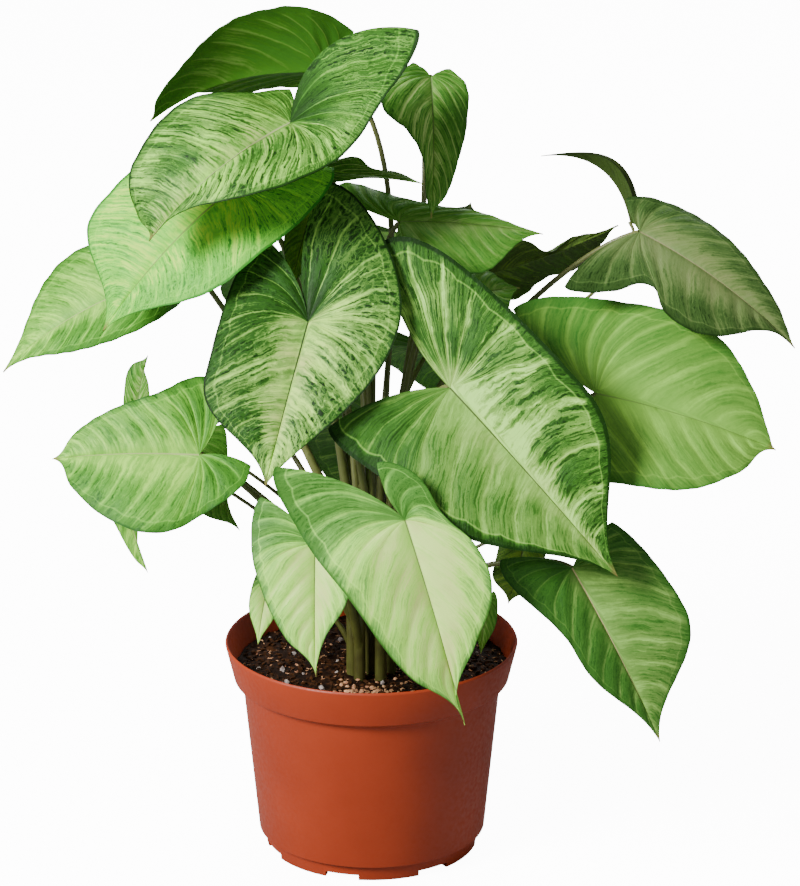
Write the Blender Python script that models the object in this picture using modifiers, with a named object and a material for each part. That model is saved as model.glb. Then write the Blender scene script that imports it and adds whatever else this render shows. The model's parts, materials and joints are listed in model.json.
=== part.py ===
"""A syngonium plant in a round plastic nursery pot.

Metres, +Z up. The origin is the middle of the pot's flat underside and the plant is seen from -Y.
Leaf places were read off one photograph: each is a pixel across, a pixel down and the millimetres that
the place stands in front of the pot's axis, which one function turns into metres.
"""

from math import cos, pi, radians, sin

import bmesh
import bpy
import numpy as np
from mathutils import Matrix

MM = 0.001

# Pot
POT_HEIGHT = 114 * MM
RIM_RADIUS = 77 * MM
RIM_LIP = 1.2 * MM
RIM_BAND = 20 * MM
RIM_BAND_FOOT_RADIUS = 72.5 * MM
NECK_RADIUS = 68 * MM
NECK_STEP = 2.5 * MM
WALL_FOOT_RADIUS = 60 * MM
WALL = 1.6 * MM
FOOT_HEIGHT = 9 * MM
FOOT_RADIUS = 57 * MM
FOOT_THICKNESS = 5 * MM
CHANNEL_INNER_RADIUS = 38 * MM
CHANNEL_HEIGHT = 5 * MM
POT_SIDES = 40
NOTCHES = 7
NOTCH_WIDTH = 18 * MM
NOTCH_HEIGHT = 3 * MM
FIRST_NOTCH_ANGLE = radians(-106)
DRAIN_RADIUS = 3 * MM
DRAIN_SIDES = 8

# Soil and the holes that the canes stand in
SOIL_EDGE_HEIGHT = 99 * MM
SOIL_CROWN_HEIGHT = 101 * MM
FIT_GAP = 0.3 * MM
ROOTED_DEPTH = 20 * MM
HOLE_SIDES = 12

# Canes: place across, place back, and height of the top, in millimetres
CANES = {
    "a": (-6, -25, 150),
    "b": (-10, -16, 190),
    "c": (0, -16, 210),
    "d": (5, -25, 165),
    "e": (10, -15, 200),
    "f": (-6, -6, 200),
    "g": (5, -6, 180),
}
CANE_FOOT_RADIUS = 3.1 * MM
CANE_TOP_RADIUS = 2.8 * MM
LOWEST_STALK = 108 * MM

# Leaf stalks
STALK_RADIUS = 1.4 * MM
SMALL_STALK_RADIUS = 0.9 * MM
SHEATH_SWELLING = 1.35
STALK_STEPS = 9
STALK_END_BELOW_BLADE = 1.35 * MM
LOWEST_SEAT = 150 * MM
HIGHEST_SEAT = 400 * MM
LEAST_SHARE_OF_CANE = 0.05
MOST_SHARE_OF_CANE = 0.9
STALK_OUTWARD_PULL = 0.12
STALK_UPWARD_PULL = 0.45
STALK_ARRIVAL_PULL = 0.22

# Leaf blades. The ribs of the first part of a blade all fan out from the seat.
BLADE_THICKNESS = 0.7 * MM
RIB_FAN = 0.25
RIB_SWEEP = 0.18
RIB_SWEEP_STARTS = 0.2
DROOP_OF_LOBES = 1.6
MARGIN_WAVES = 2.5
LARGE_GRID = (12, 3)
SMALL_GRID = (6, 2)
MERGE = 0.00001

# A plain blade's lobes run back and out from its seat, and its sides stand this far down its length
LOBE_BACK = 0.82
LOBE_OUT = 0.57
WIDEST_AT = 0.28

# How far the curves of a blade's outline are pulled, as shares of the runs that they bend
NOTCH_START_PULL = 0.35
NOTCH_START_BULGE = 0.14
NOTCH_END_PULL = 0.2
NOTCH_END_BULGE = 0.08
NOTCH_FADES_BY = 0.25
LOBE_ROUNDING = 0.22
LOBE_OVERRUN = 0.05
SIDE_PULL_BACK = 0.36
SIDE_PULL_ON = 0.42
TIP_PULL = 0.26
TIP_BREADTH = 0.16

# Where the photograph was taken from
PICTURE_WIDTH = 800
PICTURE_HEIGHT = 886
FOCAL_PIXELS = 3865.6
EYE_DISTANCE = 2.0
EYE_HEIGHT_ANGLE = radians(18.73)
EYE_TARGET = np.array((0.015, 0.0, 0.2222))

TO_EYE = np.array((0.0, -cos(EYE_HEIGHT_ANGLE), sin(EYE_HEIGHT_ANGLE)))
PICTURE_RIGHT = np.array((1.0, 0.0, 0.0))
PICTURE_UP = np.cross(TO_EYE, PICTURE_RIGHT)
EYE = EYE_TARGET + TO_EYE * EYE_DISTANCE

# Base colours, roughness
POT_FINISH = ((0.46, 0.085, 0.03, 1), 0.42)
SOIL_FINISH = ((0.030, 0.017, 0.012, 1), 0.95)
SHOOT_FINISH = ((0.13, 0.12, 0.035, 1), 0.5)
LEAF_FINISHES = {
    "green": ((0.06, 0.24, 0.03, 1), 0.42),
    "cream": ((0.50, 0.62, 0.32, 1), 0.45),
    "lime": ((0.30, 0.52, 0.16, 1), 0.45),
    "olive": ((0.22, 0.27, 0.12, 1), 0.5),
    "dark": ((0.06, 0.11, 0.025, 1), 0.5),
}

# Blades that the photograph shows. A place is (across, down, front). A lobe end or a side is
# (across, down, lift), with its lift over the blade's plane in millimetres. The face is the compass
# and height angle of the upper face, 0 towards the eye and positive to the right.
SEEN_LEAVES = {
    "leaf_01": dict(
        shoot="g", colour="green", face=(195, 28), seat=(320, 73, -25), tip=(150, 121, -5),
        lobes=((354, 32, 0), (336, 98, 4)), arch=13, stalk_by=(392, 250, -30), stalk_lean=(0.3, 0.9),
        sides=(((310, 9, 2), (262, 10, 3), (213, 33, 3), (180, 68, 2), (157, 99, 1)),
               ((300, 87, 9), (245, 93, 9), (198, 93, 6), (167, 105, 2))),
    ),
    "leaf_02": dict(
        shoot="c", colour="cream", face=(-12, 33), seat=(290, 123, 30), tip=(149, 241, 62),
        lobes=((290, 90, -12), (418, 30, 24)), arch=14, notch_bulge=(3.2, 1), stalk_by=(345, 230, -24),
        sides=(((248, 92, -11), (203, 95, -9), (166, 115, -7), (141, 148, -4), (129, 180, -1), (138, 216, 0)),
               ((411, 60, 22), (384, 98, 19), (348, 150, 14), (298, 180, 9), (245, 196, 5), (180, 213, 1))),
    ),
    "leaf_03": dict(
        shoot="b", colour="lime", face=(-20, 35), seat=(232, 188, 14), tip=(103, 331, 40),
        lobes=((215, 120, 0), (334, 168, 2)), sides=((98, 205, 2), (244, 268, 2)), arch=8,
    ),
    "leaf_04": dict(
        shoot="b", colour="lime", face=(-35, 45), seat=(165, 278, -10), tip=(3, 372, -5),
        lobes=((185, 220, 0), (196, 280, 0)), sides=((79, 250, 2), (124, 336, 2)), arch=10,
        stalk_by=(216, 298, -12),
    ),
    "leaf_05": dict(
        shoot="c", colour="cream", face=(-5, 25), seat=(308, 322, 48), tip=(265, 487, 92),
        lobes=((268, 240, 6), (322, 182, 6)), sides=((205, 375, 4), (399, 328, 4)), arch=3,
    ),
    "leaf_06": dict(
        shoot="d", colour="cream", face=(-2, 30), seat=(450, 388, 56), tip=(618, 577, 90),
        lobes=((328, 428, 5), (381, 243, 3)), sides=((405, 498, 5), (585, 388, 5)), arch=6,
    ),
    "leaf_07": dict(
        shoot="e", colour="lime", face=(15, 42), seat=(597, 394, 22), tip=(776, 450, 28),
        lobes=((560, 470, 3), (513, 310, 3)), arch=6,
        sides=(((610, 482, 3), (680, 490, 3), (737, 474, 2)),
               ((560, 297, 3), (648, 306, 3), (715, 334, 3), (752, 386, 2), (769, 434, 1))),
    ),
    "leaf_08": dict(
        shoot="e", colour="olive", face=(20, 42), seat=(640, 232, -32), tip=(795, 348, -8),
        lobes=((564, 287, 4), (626, 199, 2)), arch=8,
        sides=(((610, 291, 4), (648, 285, 4), (666, 314, 4), (708, 335, 4), (768, 331, 2)),
               ((668, 203, 2), (726, 237, 2), (774, 298, 2), (787, 328, 1))),
    ),
    "leaf_09": dict(
        shoot="e", colour="dark", face=(105, 62), seat=(630, 221, -50), tip=(541, 156, -66),
        width=18, lobe=8, fold=8, arch=13, puff=0, small=True, stalk_lean=(0.3, 0.8),
    ),
    "leaf_10": dict(
        shoot="g", colour="dark", face=(185, 35), seat=(490, 273, -30), tip=(618, 225, -52),
        lobes=((468, 268, 0), (476, 300, 0)), arch=-2, wave=2,
        sides=(((500, 251, 0), (524, 242, 2), (548, 251, -1), (572, 238, 2), (600, 232, 0)),
               ((508, 300, 0), (542, 281, 0), (580, 266, 0), (602, 244, 0))),
    ),
    "leaf_11": dict(
        shoot="c", colour="green", face=(5, 48), seat=(400, 222, -16), tip=(543, 234, -14),
        lobes=((335, 190, 0), (405, 290, 0)), sides=((455, 208, 0), (465, 274, 0)), arch=4,
    ),
    "leaf_12": dict(
        shoot="e", colour="green", face=(15, 50), seat=(440, 300, 6), tip=(520, 288, -12),
        lobes=((415, 275, 0), (425, 330, 0)), sides=((472, 266, 0), (490, 330, 0)), arch=2,
    ),
    "leaf_13": dict(
        shoot="e", colour="green", face=(25, 20), seat=(431, 77, -46), tip=(431, 219, 4),
        lobes=((412, 63, 0), (450, 69, 4)), arch=3, stalk_by=(422, 240, -30),
        sides=(((384, 84, 0), (383, 109, 2), (407, 130, 3), (422, 157, 2), (426, 195, 0)),
               ((466, 86, 5), (468, 116, 5), (460, 155, 3), (448, 192, 1))),
    ),
    "leaf_14": dict(
        shoot="c", colour="green", face=(-10, 52), seat=(322, 171, 2), tip=(425, 184, 22),
        lobes=((306, 165, 0), (308, 180, 0)), arch=1, puff=1, small=True, stalk_by=(355, 250, -16),
        sides=(((332, 161, 1), (357, 157, 3), (372, 168, 1), (397, 172, 0)),
               ((335, 182, 0), (368, 178, 2), (400, 180, 0))),
    ),
    "leaf_15": dict(
        shoot="g", colour="olive", face=(10, 20), seat=(452, 252, -38), tip=(471, 202, -44),
        lobes=((430, 254, 0), (488, 252, 0)), sides=(((435, 228, 0), (452, 210, 0)), ((479, 236, 0), (476, 214, 0))),
        arch=1, small=True,
    ),
    "leaf_16": dict(
        shoot="a", colour="lime", face=(-20, 38), seat=(199, 455, 45), tip=(52, 459, 32),
        lobes=((225, 393, 0), (251, 466, 0)), arch=5, stalk_by=(262, 502, 40),
        sides=(((203, 376, 2), (158, 393, 4), (116, 407, 4), (76, 432, 2)),
               ((243, 486, 2), (206, 512, 4), (160, 533, 4), (112, 521, 4), (73, 489, 2))),
    ),
    "leaf_17": dict(
        shoot="a", colour="green", face=(-20, 10), seat=(137, 414, 10), tip=(148, 355, 10),
        lobes=((127, 420, 0), (150, 416, 0)), sides=(((125, 385, 0), (131, 366, 0)), ((149, 387, 0), (144, 366, 0))),
        arch=2, small=True,
    ),
    "leaf_18": dict(
        shoot="a", colour="green", face=(-10, 15), seat=(112, 458, 15), tip=(148, 573, 32),
        lobes=((92, 440, 0), (135, 430, 0)), arch=3, small=True,
        sides=(((99, 490, 0), (117, 528, 0), (134, 558, 0)), ((143, 480, 0), (138, 530, 0), (139, 556, 0))),
    ),
    "leaf_19": dict(
        shoot="f", colour="dark", face=(10, 15), seat=(190, 445, -12), tip=(240, 531, -2),
        lobes=((165, 450, 0), (222, 424, 0)), arch=3, small=True,
        sides=(((176, 490, 0), (203, 514, 0)), ((228, 466, 0), (228, 502, 0))),
    ),
    "leaf_20": dict(
        shoot="a", colour="lime", face=(-8, 22), seat=(315, 544, 66), tip=(316, 677, 88),
        lobes=((261, 497, 4), (345, 505, 4)), arch=3,
        sides=(((251, 530, 4), (258, 580, 4), (284, 636, 3), (308, 660, 1)),
               ((352, 560, 4), (347, 601, 4), (326, 636, 3), (318, 660, 1))),
    ),
    "leaf_21": dict(
        shoot="d", colour="lime", face=(8, 20), seat=(405, 520, 94), tip=(465, 725, 114),
        lobes=((275, 467, 0), (377, 463, 6)), arch=6,
        sides=(((300, 533, 0), (348, 598, 6), (405, 673, 4), (451, 703, 2)),
               ((414, 473, 8), (443, 514, 6), (477, 547, 6), (492, 590, 6), (476, 643, 4), (457, 690, 2))),
    ),
    "leaf_22": dict(
        shoot="d", colour="green", face=(14, 28), seat=(572, 568, 66), tip=(660, 742, 90),
        lobes=((500, 560, 4), (612, 522, 4)), sides=((576, 654, 4), (684, 606, 4)), arch=5,
    ),
    "leaf_23": dict(
        shoot="e", colour="dark", face=(10, 20), seat=(525, 540, 30), tip=(508, 604, 38),
        lobes=((505, 530, 0), (545, 530, 0)), sides=((493, 570, 0), (538, 582, 0)), arch=2, small=True,
    ),
    "leaf_24": dict(
        shoot="e", colour="green", face=(0, 10), seat=(486, 600, 12), tip=(481, 654, 16),
        width=13, lobe=6, arch=2, small=True,
    ),
    "leaf_25": dict(
        shoot="b", colour="lime", face=(-10, 20), seat=(268, 583, 20), tip=(258, 645, 32),
        width=16, lobe=8, arch=2, small=True,
    ),
    "leaf_26": dict(
        shoot="b", colour="dark", face=(-10, 20), seat=(311, 212, -4), tip=(290, 292, 14),
        width=20, lobe=12, arch=2, small=True,
    ),
}

# Blades at the back, which the photograph's view hides, placed the same way
BACK_LEAVES = {
    "leaf_27": dict(
        shoot="f", colour="cream", face=(160, 40), seat=(430, 350, -56), tip=(510, 440, -112),
        width=78, lobe=48, arch=8,
    ),
    "leaf_28": dict(
        shoot="f", colour="lime", face=(205, 40), seat=(314, 262, -58), tip=(244, 338, -124),
        width=74, lobe=38, arch=8,
    ),
    "leaf_29": dict(
        shoot="g", colour="lime", face=(180, 35), seat=(384, 424, -56), tip=(362, 524, -116),
        width=76, lobe=46, arch=7,
    ),
    "leaf_30": dict(
        shoot="g", colour="lime", face=(130, 45), seat=(530, 408, -36), tip=(610, 480, -95),
        width=72, lobe=44, arch=7,
    ),
    "leaf_31": dict(
        shoot="b", colour="lime", face=(220, 40), seat=(250, 400, -40), tip=(170, 460, -95),
        width=66, lobe=40, arch=7,
    ),
    "leaf_32": dict(
        shoot="f", colour="cream", face=(160, 50), seat=(400, 234, -72), tip=(472, 288, -140),
        width=70, lobe=42, arch=8,
    ),
}


def unit(vector):
    return vector / np.linalg.norm(vector)


def sight_line(across, down):
    """The direction from the eye through a pixel of the photograph."""
    right = PICTURE_RIGHT * (across - PICTURE_WIDTH / 2) / FOCAL_PIXELS
    up = PICTURE_UP * (PICTURE_HEIGHT / 2 - down) / FOCAL_PIXELS
    return right + up - TO_EYE


def place(across, down, front):
    """The point behind a pixel that stands so many millimetres in front of the pot's axis."""
    line = sight_line(across, down)
    return EYE + line * (-front * MM - EYE[1]) / line[1]


def direction(compass, height):
    """A unit vector, compass 0 towards the eye and positive to the right."""
    turn = radians(compass)
    rise = radians(height)
    return np.array((sin(turn) * cos(rise), -cos(turn) * cos(rise), sin(rise)))


def bezier(a, b, c, d, t):
    t = np.asarray(t, float)[..., None]
    s = 1 - t
    return s ** 3 * a + 3 * s * s * t * b + 3 * s * t * t * c + t ** 3 * d


class Blade:
    """An arrow-shaped blade: seat of the stalk, tip, two lobes behind the seat and two sides.

    A side is one point, or some points in order from the lobe's end to the tip.
    """

    def __init__(self, seat, tip, face, lobes=None, sides=None, width=0, lobe=0, fold=0, arch=0, puff=2,
                 wave=0.9, notch_bulge=(1, 1), shoot="", colour="", small=False, stalk_by=None,
                 stalk_lean=(0.75, 0.45)):
        self.seat = place(*seat)
        self.tip = place(*tip)
        self.length = np.linalg.norm(self.tip - self.seat)
        self.along = unit(self.tip - self.seat)
        facing = direction(*face)
        self.up = unit(facing - self.along * (facing @ self.along))
        self.left = np.cross(self.up, self.along)
        self.arch = arch * MM
        self.puff = puff * MM
        self.wave = wave * MM
        self.small = small
        self.notch_bulge = notch_bulge
        self.stalk_by = stalk_by
        self.stalk_lean = stalk_lean
        if lobes:
            self.edges = [self.landmarks(end, side) for end, side in zip(lobes, sides)]
            self.edges.sort(key=lambda points: -(points[1] @ self.left))
        else:
            widest = WIDEST_AT * self.length / MM
            self.edges = [[self.offset(-LOBE_BACK * lobe, LOBE_OUT * lobe * k, fold / 2),
                           self.offset(widest, width / 2 * k, fold), self.tip] for k in (1, -1)]

    def offset(self, along, left, lift):
        """A point so many millimetres down the blade, to its left and over its plane."""
        return self.seat + (self.along * along + self.left * left + self.up * lift) * MM

    def landmarks(self, end, side):
        """The points that one half's outer edge runs through: lobe's end, side and tip."""
        spots = side if isinstance(side[0], tuple) else (side,)
        return [self.land(*end)] + [self.land(*spot) for spot in spots] + [self.tip]

    def land(self, across, down, lift):
        """The point under a pixel on the blade's plane, as it is before the blade is arched."""
        line = sight_line(across, down)
        height = lift * MM
        for _ in range(5):
            reach = ((self.seat - EYE) @ self.up + height) / (line @ self.up)
            point = EYE + line * reach
            height = lift * MM + self.rise((point - self.seat) @ self.along / self.length)
        return point - self.up * self.rise((point - self.seat) @ self.along / self.length)

    def rise(self, along):
        """Height of the arched midrib; behind the seat the lobes droop."""
        return self.arch * np.where(along > 0, 4 * along * (1 - along), DROOP_OF_LOBES * along)

    def notch_edge(self, k, t):
        """The inner edge of a lobe, from the seat to the lobe's end."""
        end, side = self.edges[k][:2]
        run = end - self.seat
        out = side - self.seat
        out = unit(out - unit(run) * (out @ unit(run))) * np.linalg.norm(run) * self.notch_bulge[k]
        first = self.seat + run * NOTCH_START_PULL - out * NOTCH_START_BULGE
        last = end - run * NOTCH_END_PULL - out * NOTCH_END_BULGE
        return bezier(self.seat, first, last, end, t)

    def margin(self, k, t):
        """The outer edge, from the lobe's end at 0 past the side's points to the tip at 1."""
        points = self.edges[k]
        steps = [np.linalg.norm(b - a) for a, b in zip(points, points[1:])]
        shares = np.cumsum([0] + steps) / sum(steps)
        headings = [unit(b - a) for a, b in zip(points, points[2:])] if len(points) > 3 else [self.along]
        run = unit(points[0] - self.seat)
        out = points[1] - points[0]
        out = unit(out - run * (out @ run))
        across = points[-2] - self.seat
        across = across - self.along * (across @ self.along)
        leave = [out * LOBE_ROUNDING + run * LOBE_OVERRUN] + [way * SIDE_PULL_ON for way in headings]
        arrive = [way * SIDE_PULL_BACK for way in headings]
        to_tip = self.along * min(self.length * TIP_PULL, steps[-1] * SIDE_PULL_ON) - across * TIP_BREADTH
        edge = np.zeros(t.shape + (3,))
        for i, (a, b) in enumerate(zip(points, points[1:])):
            last = b - arrive[i] * steps[i] if i < len(arrive) else b - to_tip
            here = np.clip((t - shares[i]) / (shares[i + 1] - shares[i]), 0, 1)
            stretch = bezier(a, a + leave[i] * steps[i], last, b, here)
            edge = np.where((t >= shares[i])[..., None], stretch, edge)
        return edge

    def half(self, k, t, w):
        """Points of one half: t along the margin, w from the midrib to the margin."""
        edge = self.margin(k, t)
        along = (edge - self.seat) @ self.along / self.length
        root = np.clip((along - RIB_FAN) / (1 - RIB_FAN), 0, 1)
        spine = self.seat + self.along * (root * self.length)[..., None]
        rib = np.linalg.norm(edge - spine, axis=-1)
        point = spine + (edge - spine) * w[..., None]
        straight = self.seat + (self.edges[k][0] - self.seat) * w[..., None]
        near_notch = np.clip(1 - t / NOTCH_FADES_BY, 0, 1) ** 2
        point += (self.notch_edge(k, w) - straight) * near_notch[..., None]
        swept = RIB_SWEEP * w * (1 - w) * np.clip(t / RIB_SWEEP_STARTS, 0, 1)
        point -= self.along * (swept * rib)[..., None]
        height = self.rise((point - self.seat) @ self.along / self.length)
        height = height + self.puff * 4 * w * (1 - w) * np.clip(2 * rib / self.length, 0, 1)
        if not self.small:
            wave = np.sin(2 * pi * MARGIN_WAVES * t + 2 * k) * (1 - t)
            height = height + self.wave * w ** 3 * wave
        return point + self.up * height[..., None]

    def surface(self, t, v):
        """Points of the blade: v runs from -1 on the left margin to 1 on the right one."""
        left = self.half(0, t, np.abs(v))
        right = self.half(1, t, np.abs(v))
        return np.where((v < 0)[..., None], left, right)

    def stalk(self, cane):
        """Points from the cane to just under the blade's seat."""
        across, back, top = (value * MM for value in cane)
        end = self.seat - self.up * STALK_END_BELOW_BLADE
        share = (end[2] - LOWEST_SEAT) / (HIGHEST_SEAT - LOWEST_SEAT)
        share = np.clip(share, LEAST_SHARE_OF_CANE, MOST_SHARE_OF_CANE)
        start = np.array((across, back, LOWEST_STALK + (top - LOWEST_STALK) * share))
        way = end - start
        reach = np.linalg.norm(way)
        leave = start + way * (STALK_OUTWARD_PULL, STALK_OUTWARD_PULL, 0)
        leave[2] += reach * STALK_UPWARD_PULL
        under, behind = self.stalk_lean
        arrive = end - (self.up * under + self.along * behind) * reach * STALK_ARRIVAL_PULL
        t = np.linspace(0, 1, STALK_STEPS + 1)
        points = bezier(start, leave, arrive, end, t)
        if self.stalk_by:
            aside = place(*self.stalk_by) - bezier(start, leave, arrive, end, 0.5)
            points += aside * ((4 * t * (1 - t)) ** 2)[:, None]
        return points


def clear_scene():
    for thing in list(bpy.data.objects):
        bpy.data.objects.remove(thing, do_unlink=True)


def new_collection(name):
    collection = bpy.data.collections.new(name)
    bpy.context.scene.collection.children.link(collection)
    return collection


def new_material(name, finish):
    colour, roughness = finish
    material = bpy.data.materials.new(name)
    material.use_nodes = True
    shader = material.node_tree.nodes["Principled BSDF"]
    shader.inputs["Base Color"].default_value = colour
    shader.inputs["Roughness"].default_value = roughness
    return material


def new_object(name, mesh, collection):
    thing = bpy.data.objects.new(name, mesh)
    collection.objects.link(thing)
    return thing


def mesh_from(bm, name):
    mesh = bpy.data.meshes.new(name)
    bm.to_mesh(mesh)
    bm.free()
    return mesh


def applied(thing):
    """Gives an object its evaluated mesh and drops its modifiers."""
    graph = bpy.context.evaluated_depsgraph_get()
    mesh = bpy.data.meshes.new_from_object(thing.evaluated_get(graph))
    thing.modifiers.clear()
    thing.data = mesh


def turned(name, profile, collection, sides):
    """A solid turned from a profile of (radius, height) that starts and ends on the axis."""
    bm = bmesh.new()
    points = [bm.verts.new((radius, 0, height)) for radius, height in profile]
    for start, end in zip(points, points[1:]):
        bm.edges.new((start, end))
    thing = new_object(name, mesh_from(bm, name), collection)
    screw = thing.modifiers.new("turn", "SCREW")
    screw.steps = sides
    screw.render_steps = sides
    screw.use_merge_vertices = True
    screw.merge_threshold = MERGE
    return thing


def join_cut(thing, others, operation):
    """Joins to an object, or cuts from it, every object of a collection."""
    boolean = thing.modifiers.new(operation.lower(), "BOOLEAN")
    boolean.operation = operation
    boolean.operand_type = "COLLECTION"
    boolean.collection = others
    boolean.solver = "EXACT"


def add_cylinder(name, collection, radius, low, high, at, sides):
    bm = bmesh.new()
    lift = Matrix.Translation((at[0], at[1], (low + high) / 2))
    bmesh.ops.create_cone(bm, cap_ends=True, segments=sides, radius1=radius, radius2=radius,
                          depth=high - low, matrix=lift)
    cutter = new_object(name, mesh_from(bm, name), collection)
    cutter.display_type = "WIRE"
    cutter.hide_render = True


def pot_inside():
    """The pot's inner wall, from the floor's edge up to the rim."""
    return [
        (FOOT_RADIUS - WALL, CHANNEL_HEIGHT + WALL),
        (WALL_FOOT_RADIUS - WALL, FOOT_HEIGHT + WALL),
        (NECK_RADIUS - WALL, POT_HEIGHT - RIM_BAND - NECK_STEP + WALL),
        (RIM_BAND_FOOT_RADIUS - WALL, POT_HEIGHT - RIM_BAND + WALL),
        (RIM_RADIUS - WALL, POT_HEIGHT - RIM_LIP),
    ]


def build_pot(collection, cutters):
    outside = [
        (RIM_RADIUS - WALL / 2, POT_HEIGHT),
        (RIM_RADIUS, POT_HEIGHT - RIM_LIP),
        (RIM_BAND_FOOT_RADIUS, POT_HEIGHT - RIM_BAND),
        (NECK_RADIUS, POT_HEIGHT - RIM_BAND - NECK_STEP),
        (WALL_FOOT_RADIUS, FOOT_HEIGHT),
        (FOOT_RADIUS, FOOT_HEIGHT - WALL / 2),
        (FOOT_RADIUS - WALL / 2, 0),
    ]
    underside = [
        (FOOT_RADIUS - FOOT_THICKNESS, 0),
        (FOOT_RADIUS - FOOT_THICKNESS, CHANNEL_HEIGHT),
        (CHANNEL_INNER_RADIUS, CHANNEL_HEIGHT),
        (CHANNEL_INNER_RADIUS, 0),
        (0, 0),
    ]
    floor_centre = [(0, CHANNEL_HEIGHT + WALL)]
    pot = turned("pot", floor_centre + pot_inside() + outside + underside, collection, POT_SIDES)
    drain_ring = (CHANNEL_INNER_RADIUS + FOOT_RADIUS - FOOT_THICKNESS) / 2
    for index in range(NOTCHES):
        angle = FIRST_NOTCH_ANGLE + index * 2 * pi / NOTCHES
        outward = Matrix.Rotation(angle, 4, "Z")
        bm = bmesh.new()
        shape = Matrix.Diagonal((FOOT_THICKNESS * 3, NOTCH_WIDTH, NOTCH_HEIGHT * 2, 1))
        bmesh.ops.create_cube(bm, size=1, matrix=outward @ Matrix.Translation((FOOT_RADIUS, 0, 0)) @ shape)
        notch = new_object(f"notch_{index}", mesh_from(bm, "notch"), cutters)
        notch.display_type = "WIRE"
        notch.hide_render = True
        at = (cos(angle) * drain_ring, sin(angle) * drain_ring)
        add_cylinder(f"drain_{index}", cutters, DRAIN_RADIUS, CHANNEL_HEIGHT / 2,
                     CHANNEL_HEIGHT * 2, at, DRAIN_SIDES)
    join_cut(pot, cutters, "DIFFERENCE")
    pot.data.materials.append(new_material("pot plastic", POT_FINISH))
    return pot


def build_soil(collection, cutters):
    """The plug of soil, a little smaller than the pot's inside, with a plain hole for each cane."""
    wall = pot_inside()[:-1]
    edge_radius = np.interp(SOIL_EDGE_HEIGHT, [wall[-1][1], POT_HEIGHT], [wall[-1][0], RIM_RADIUS - WALL])
    top = [(0, SOIL_CROWN_HEIGHT), (edge_radius - 2 * FIT_GAP, SOIL_EDGE_HEIGHT)]
    down = [(radius - 2 * FIT_GAP, height + FIT_GAP) for radius, height in reversed(wall)]
    bottom = [(0, CHANNEL_HEIGHT + WALL + FIT_GAP)]
    soil = turned("soil", top + down + bottom, collection, POT_SIDES)
    for letter, (across, back, _) in CANES.items():
        add_cylinder(f"hole_{letter}", cutters, CANE_FOOT_RADIUS + FIT_GAP,
                     SOIL_EDGE_HEIGHT - ROOTED_DEPTH - FIT_GAP, POT_HEIGHT,
                     (across * MM, back * MM), HOLE_SIDES)
    join_cut(soil, cutters, "DIFFERENCE")
    soil.data.materials.append(new_material("potting soil", SOIL_FINISH))
    return soil


def tube(name, points, radii, collection, resolution):
    """A closed tube along the points, made a mesh with its caps welded."""
    curve = bpy.data.curves.new(name, "CURVE")
    curve.dimensions = "3D"
    curve.bevel_depth = 1.0
    curve.bevel_resolution = resolution
    curve.use_fill_caps = True
    spline = curve.splines.new("POLY")
    spline.points.add(len(points) - 1)
    for knot, point, radius in zip(spline.points, points, radii):
        knot.co = (*point, 1)
        knot.radius = radius
    guide = new_object(name, curve, collection)
    graph = bpy.context.evaluated_depsgraph_get()
    mesh = bpy.data.meshes.new_from_object(guide.evaluated_get(graph))
    bpy.data.objects.remove(guide)
    bm = bmesh.new()
    bm.from_mesh(mesh)
    bmesh.ops.remove_doubles(bm, verts=bm.verts, dist=MERGE)
    bm.to_mesh(mesh)
    bm.free()
    return new_object(name, mesh, collection)


def build_shoot(letter, blades, collection):
    """A cane with the stalks that grew from it, as one solid."""
    across, back, top = (value * MM for value in CANES[letter])
    foot = SOIL_EDGE_HEIGHT - ROOTED_DEPTH
    cane_points = [(across, back, foot), (across, back, LOWEST_STALK), (across, back, top)]
    cane_radii = [CANE_FOOT_RADIUS, CANE_FOOT_RADIUS, CANE_TOP_RADIUS]
    cane = tube(f"shoot_{letter}", cane_points, cane_radii, collection, 2)
    stalks = new_collection(f"stalks_{letter}")
    for name, blade in blades.items():
        radius = SMALL_STALK_RADIUS if blade.small else STALK_RADIUS
        radii = np.linspace(radius * SHEATH_SWELLING, radius, STALK_STEPS + 1)
        tube(f"stalk_{name}", blade.stalk(CANES[letter]), radii, stalks, 1)
    join_cut(cane, stalks, "UNION")
    applied(cane)
    for stalk in list(stalks.objects):
        bpy.data.objects.remove(stalk)
    bpy.data.collections.remove(stalks)
    cane.data.materials.clear()
    cane.data.materials.append(new_material(f"shoot {letter} bark", SHOOT_FINISH))
    return cane


def build_leaf(name, blade, colour, collection):
    """A blade from a grid that is bent to the leaf's shape and thickened."""
    lengthwise, halfwidth = SMALL_GRID if blade.small else LARGE_GRID
    bm = bmesh.new()
    bmesh.ops.create_grid(bm, x_segments=2 * halfwidth, y_segments=lengthwise, size=1)
    flat = np.array([vert.co for vert in bm.verts])
    shaped = blade.surface((flat[:, 1] + 1) / 2, flat[:, 0])
    for vert, point in zip(bm.verts, shaped):
        vert.co = point
    bmesh.ops.remove_doubles(bm, verts=bm.verts, dist=MERGE)
    bmesh.ops.triangulate(bm, faces=bm.faces)
    leaf = new_object(name, mesh_from(bm, name), collection)
    thicken = leaf.modifiers.new("thicken", "SOLIDIFY")
    thicken.thickness = BLADE_THICKNESS
    thicken.offset = 0
    leaf.data.materials.append(new_material(f"{name} {colour}", LEAF_FINISHES[colour]))
    return leaf


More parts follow.
